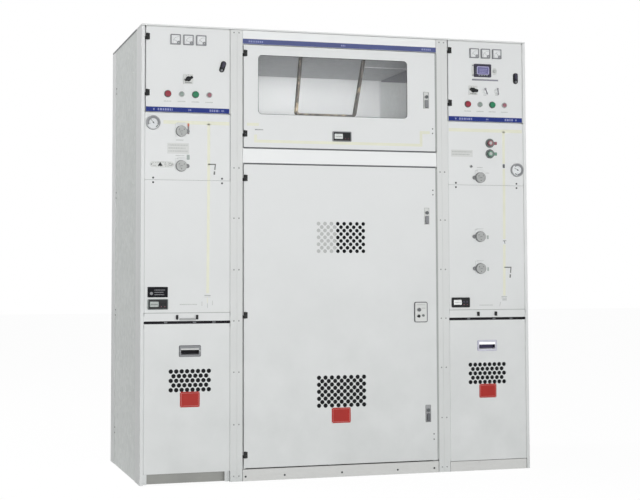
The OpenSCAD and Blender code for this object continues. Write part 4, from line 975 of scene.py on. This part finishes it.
# Dark strips in the slot under each sill, painted shade; grey strips of painted shade in the seams over the sill and
# under the mechanism cover; pale strips in the side gaps of the covers
SILL_H, CABLE_COVER_H = 30, 690
p = Piece("sill_gap_shade_and_fill", ROOT, slot="black_plastic")
for side in sides:
    p.on(side.sill).plate(-1.4, -10.6, cover_w + 1.4, -0.4, 1, CUP, -2, -25.6, 0.8)
    p.plate(2, -12.2, cover_w - 2, 1.4, 0.4, CUP, 0.3, -1.9)
    for x in (96, 236, 331):
        p.plate(x, -9.5, x + 16, -1.2, 1.5, METER_CASE, 1.2, 0, 0.5)
    p.on(side.main).plate(1, -2.4, cover_w - 1, 1, 0.4, EDGE_SHADE, 0.3, -20)
    for panel, h, low_x in ((side.mechanism, mechanism_h, -1.8), (side.main, main_cover_h, -1.8),
                            (side.sill, SILL_H, -1.8), (side.cable, CABLE_COVER_H, -1.6)):
        for x in (low_x, cover_w + 0.2):
            # On the right of the left mechanism cover the strip is darker, painted shade.
            shut = METER_FRAME if panel is left.mechanism and x > 0 else SEAL
            p.on(panel).plate(x, 2, x + 1.6, h - 2, 0.2, shut, -0.5, -6)
    p.on(side.mechanism).plate(2, -1.8, cover_w - 2, -0.2, 0.2, EDGE_SHADE, -0.9, -6)
p.on(left.sill).plate(171, 4.6, 250, 15.4, 2.5, BAR_GREY, 5, 0, 0.8)


def lever_lock(p, x, z, pale=True):
    """Dish, lever and key barrel of a flat lever lock."""
    out = LEVER_OUT
    frame_of, lever_of = (FAINT_PLATE, METER_FRAME) if pale else (LOCK, METER_CASE)
    p.bezel(*around(x, z, 14.3, 43.3), 3.3, 3.5, frame_of, 4.4, 0, 0.8)
    p.plate(*around(x, z, 11, 40), 2, frame_of, 2.6, 1, 0.2)
    lever = rounded(x - 8.5, z - 36, x + 8.5, z + 1, 5)
    front = rounded(x - 8.5, z - 36, x + 8.5, z + 1, 5, 1.6)
    p.bevelled(lever, front, 3, out + 1, out + 2.4, lever_of)
    p.line([(x - 9, z - 38), (x + 9, z - 38)], 3.5, METER_CASE, 4.6, 1.9)
    p.lathe(x, z + 17, [(8.5, 2), (8.5, out + 0.6), (7.6, out + 1.2)], METER_CASE, 28)
    p.slab(circle(x, z + 17, 6.5), NEEDLE, out + 1.5, out)
    p.slab([(x - 6, z + 22), (x, z + 6), (x + 6, z + 22)], NEEDLE, out + 1.7, out)


LOCK_HALF, LEVER_OUT = 43, 10
low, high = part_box("main_door_locks")
p = Piece("main_door_levers", MAIN_DOOR, Panel(((low.x + high.x) / 2, front_y, 0)), "fitting_metal")
for z in (low.z / MM + LOCK_HALF, high.z / MM - LOCK_HALF):
    lever_lock(p, 0, z, z > 800)
w, h = size_of("main_door_interlock")
p.on(face_of("main_door_interlock"))
p.bezel(*grown(0, 0, w, h, 0.4), 10, 4.8, METER_CASE, 6.6, 0, 1)
p.plate(4.4, 4.4, w - 4.4, h - 4.4, 1.5, FAINT_PLATE, 5.3, 4.5)
for x, z, r, out, material in ((24, 63, 9.2, 14.3, METER_CASE), (23, 31, 7.5, 11, BLACK), (47, 34, 6, 10, GUARD)):
    p.lathe(x, z, [(r + 1.5, 5), (r + 1.5, 7.2), (r + 1, 7.8)], SATIN, 28)
    p.lathe(x, z, [(r, 5), (r, out - 0.8), (r - 1, out)], material, 28)
p.plate(13, 27, 20, 33, 2, BLACK, 8, 5)
p.marks(40, 60, 68, 5, GREY_PRINT, 6.7, 6)
p.marks(12, 58, 86, 4, GREY_PRINT, 6.7, 6)

p = Piece("window_door_lever", WINDOW_DOOR, window_panel, "fitting_metal")
lever_lock(p, 955, 260)


# ---- screws, busbar sleeve and compartment fittings

POST_ROWS = (26, 272, 523, 770, 1017, 1267, 1512, 2177)
p = Piece("post_screws", ROOT)
row = Panel((cad_box[0][0], front_y, 0))
row_w, depth = (cad_box[1][0] - cad_box[0][0]) / MM, (cad_box[1][1] - front_y) / MM
SEAM = (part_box("window_door")[0].x - cad_box[0][0]) / MM - 33
for z in POST_ROWS:
    for x in (SEAM - 15.5, SEAM + 9.5, row_w - SEAM - 10, row_w - SEAM + 15):
        p.on(row).screw(x, z, 3.6, POST_SCREW)
for x in (513, 708, 1000, 1291, 1486):
    p.screw(x, 22, 4.8, SCREW, 2.4)
for side in sides:
    for x in (41, 378):
        p.on(side.mechanism).screw(x, 9, 4.8, SCREW)
        p.on(side.main).screw(x, main_cover_h - 11, 4.8, SCREW)

low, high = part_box("rear_panels")
p = Piece("rear_panel_screws", ROOT, Panel((high.x, high.y, 0), (-1, 0, 0), (0, 1, 0)))
REAR_IN, REAR_ROWS = 14, (60, 430, 800, 1170, 1540, 1910, 2140)
rear_x = [REAR_IN, (high.x - low.x) / MM - REAR_IN]
for k in (1, 0):
    seam_x = (high.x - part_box("partitions")[k].x) / MM
    rear_x += [seam_x - REAR_IN, seam_x + REAR_IN]
for x in rear_x:
    for z in REAR_ROWS:
        p.screw(x, z, 3.6, SCREW)

low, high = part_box("end_panels")
p = Piece("end_panel_screws", ROOT)
END_ROWS = (205, 822, 1443, 2000)
END_SCREWS = ((270, 0, 5, BRIGHT_SCREW), (600, 0, 5, BRIGHT_SCREW), (812, -12, 4, SCREW), (812, -40, 4, SCREW))
for panel in (Panel((low.x, cad_box[1][1], 0), (0, -1, 0), (-1, 0, 0)),
              Panel((high.x, front_y, 0), (0, 1, 0), (1, 0, 0))):
    for z in END_ROWS:
        for y, dz, r, material in END_SCREWS:
            p.on(panel).screw(depth - y if panel.out.x < 0 else y, z + dz, r, material, 1.8)


# Sleeve on the busbar, worn and with painted highlights, along its legs and round its bends
BAR_X, BAR_Y, DROP, FOOT, LEAN, SPREAD, BEND, BAR_W = 320, 200, 300, 321, 27, 26, 20, 28
rise = [atan2(DROP, LEAN), atan2(DROP, LEAN + SPREAD)]
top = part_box("busbar_loop")[1].z / MM - DROP
path = [(LEAN + 4 / sin(rise[0]), DROP - 1)]
for x, a, b in ((BEND / tan(rise[0] / 2), pi / 2 + rise[0], 1.5 * pi),
                (FOOT - BEND * tan(rise[1] / 2), 1.5 * pi, 1.5 * pi + rise[1])):
    path += [polar(x, BEND, BEND - 4, a + (b - a) * k / 6) for k in range(7)]
path.append((FOOT + LEAN + SPREAD - 4 / sin(rise[1]), DROP - 1))
bar_panel = Panel((window_panel.corner.x + BAR_X * MM, front_y + BAR_Y * MM, top * MM))
Piece("busbar_sleeve", ROOT, bar_panel, "busbar").line(path, 12, BAR, 1, -BAR_W - 1)

# Inside the window compartment: a dark plate high on the right wall, painted shadow with a sloping lower edge, and a
# pale strip across the ceiling, a painted highlight
STRIP_Y, ceiling = 437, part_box("compartment_plates")[1].z / MM - 20
wall = Panel((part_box("partitions")[1].x - 4 * MM, front_y, 0), (0, 1, 0), (-1, 0, 0))
p = Piece("compartment_fittings", ROOT, wall)
p.slab([(918, ceiling - 0.4), (918, ceiling - 8), (60, ceiling - 133), (60, ceiling - 0.4)], PAINTED_SHADOW, 1.4, 0.1)
for y in (120, 380, 640, 890):
    p.screw(y, ceiling - 5, 3, BRIGHT_SCREW, 2.2, 1.3)
p.on(Panel((wall.corner.x, front_y + STRIP_Y * MM, 0)))
p.slab(rounded(-266, ceiling - 4, -2, ceiling - 0.2, 1), PAINTED_HIGHLIGHT, 0, -3)

for p in pieces:
    p.build()


# ---- floor, light and camera

world = bpy.data.worlds.new("studio")
bpy.context.scene.world = world
n = Nodes("studio", world)
skies = [n.add("ShaderNodeBackground", {"Color": WHITE, "Strength": strength}) for strength in (0.25, 1)]
n.blend(n.seen(), *skies)

bm = bmesh.new()
bmesh.ops.create_grid(bm, x_segments=8, y_segments=8, size=30)
ground = bpy.data.meshes.new("studio_floor")
bm.to_mesh(ground)
bm.free()
floor = placed("studio_floor", ground)
floor.location.z = -0.0005
n = Nodes("floor_white")
white = n.mix(n.noise(2), (0.59, 0.59, 0.59, 1), (0.61, 0.61, 0.61, 1))
diffuse = n.add("ShaderNodeBsdfDiffuse", {"Color": white})
glow = n.add("ShaderNodeEmission", {"Strength": 1.09})
n.blend(n.math("MULTIPLY", n.seen(), 0.88), diffuse, glow)
ground.materials.append(n.material)

# Large soft area lamps, each aimed at a point
for name, at, target, size, power in (("key", (-2.1, -11.5, 1.05), (0, -0.4, 1), (5, 3.4), 830),
                                      ("fill", (4.2, -10.5, 0.8), (0, -0.4, 0.8), (3, 3.4), 250),
                                      ("side", (-6.3, 1.9, 5.5), (-1, 0.1, 1.7), (3, 3), 192)):
    data = bpy.data.lights.new(name, "AREA")
    data.shape, data.energy = "RECTANGLE", power
    data.size, data.size_y = size
    ob = placed(name, data)
    ob.location = at
    ob.rotation_euler = (Vector(target) - Vector(at)).to_track_quat("-Z", "Y").to_euler()

CAMERA_AT = Vector((-2.098, -7.0738, 0.9879))
YAW, PITCH, ROLL = radians(16.738), radians(3.51), radians(-0.179)
LENS, SENSOR, SHIFT = 78.384, 36, -0.09375
forward = Vector((sin(YAW) * cos(PITCH), cos(YAW) * cos(PITCH), sin(PITCH)))
right_way = Vector((cos(YAW), -sin(YAW), 0))
up_way = right_way.cross(forward)
across = right_way * cos(ROLL) + up_way * sin(ROLL)
upward = up_way * cos(ROLL) - right_way * sin(ROLL)
view = bpy.data.cameras.new("camera")
view.lens, view.sensor_width, view.sensor_fit, view.shift_y = LENS, SENSOR, "HORIZONTAL", SHIFT
camera = placed("camera", view)
camera.matrix_world = Matrix.Translation(CAMERA_AT) @ Matrix((across, upward, -forward)).transposed().to_4x4()
bpy.context.scene.camera = camera
bpy.context.scene.view_settings.view_transform = "Standard"
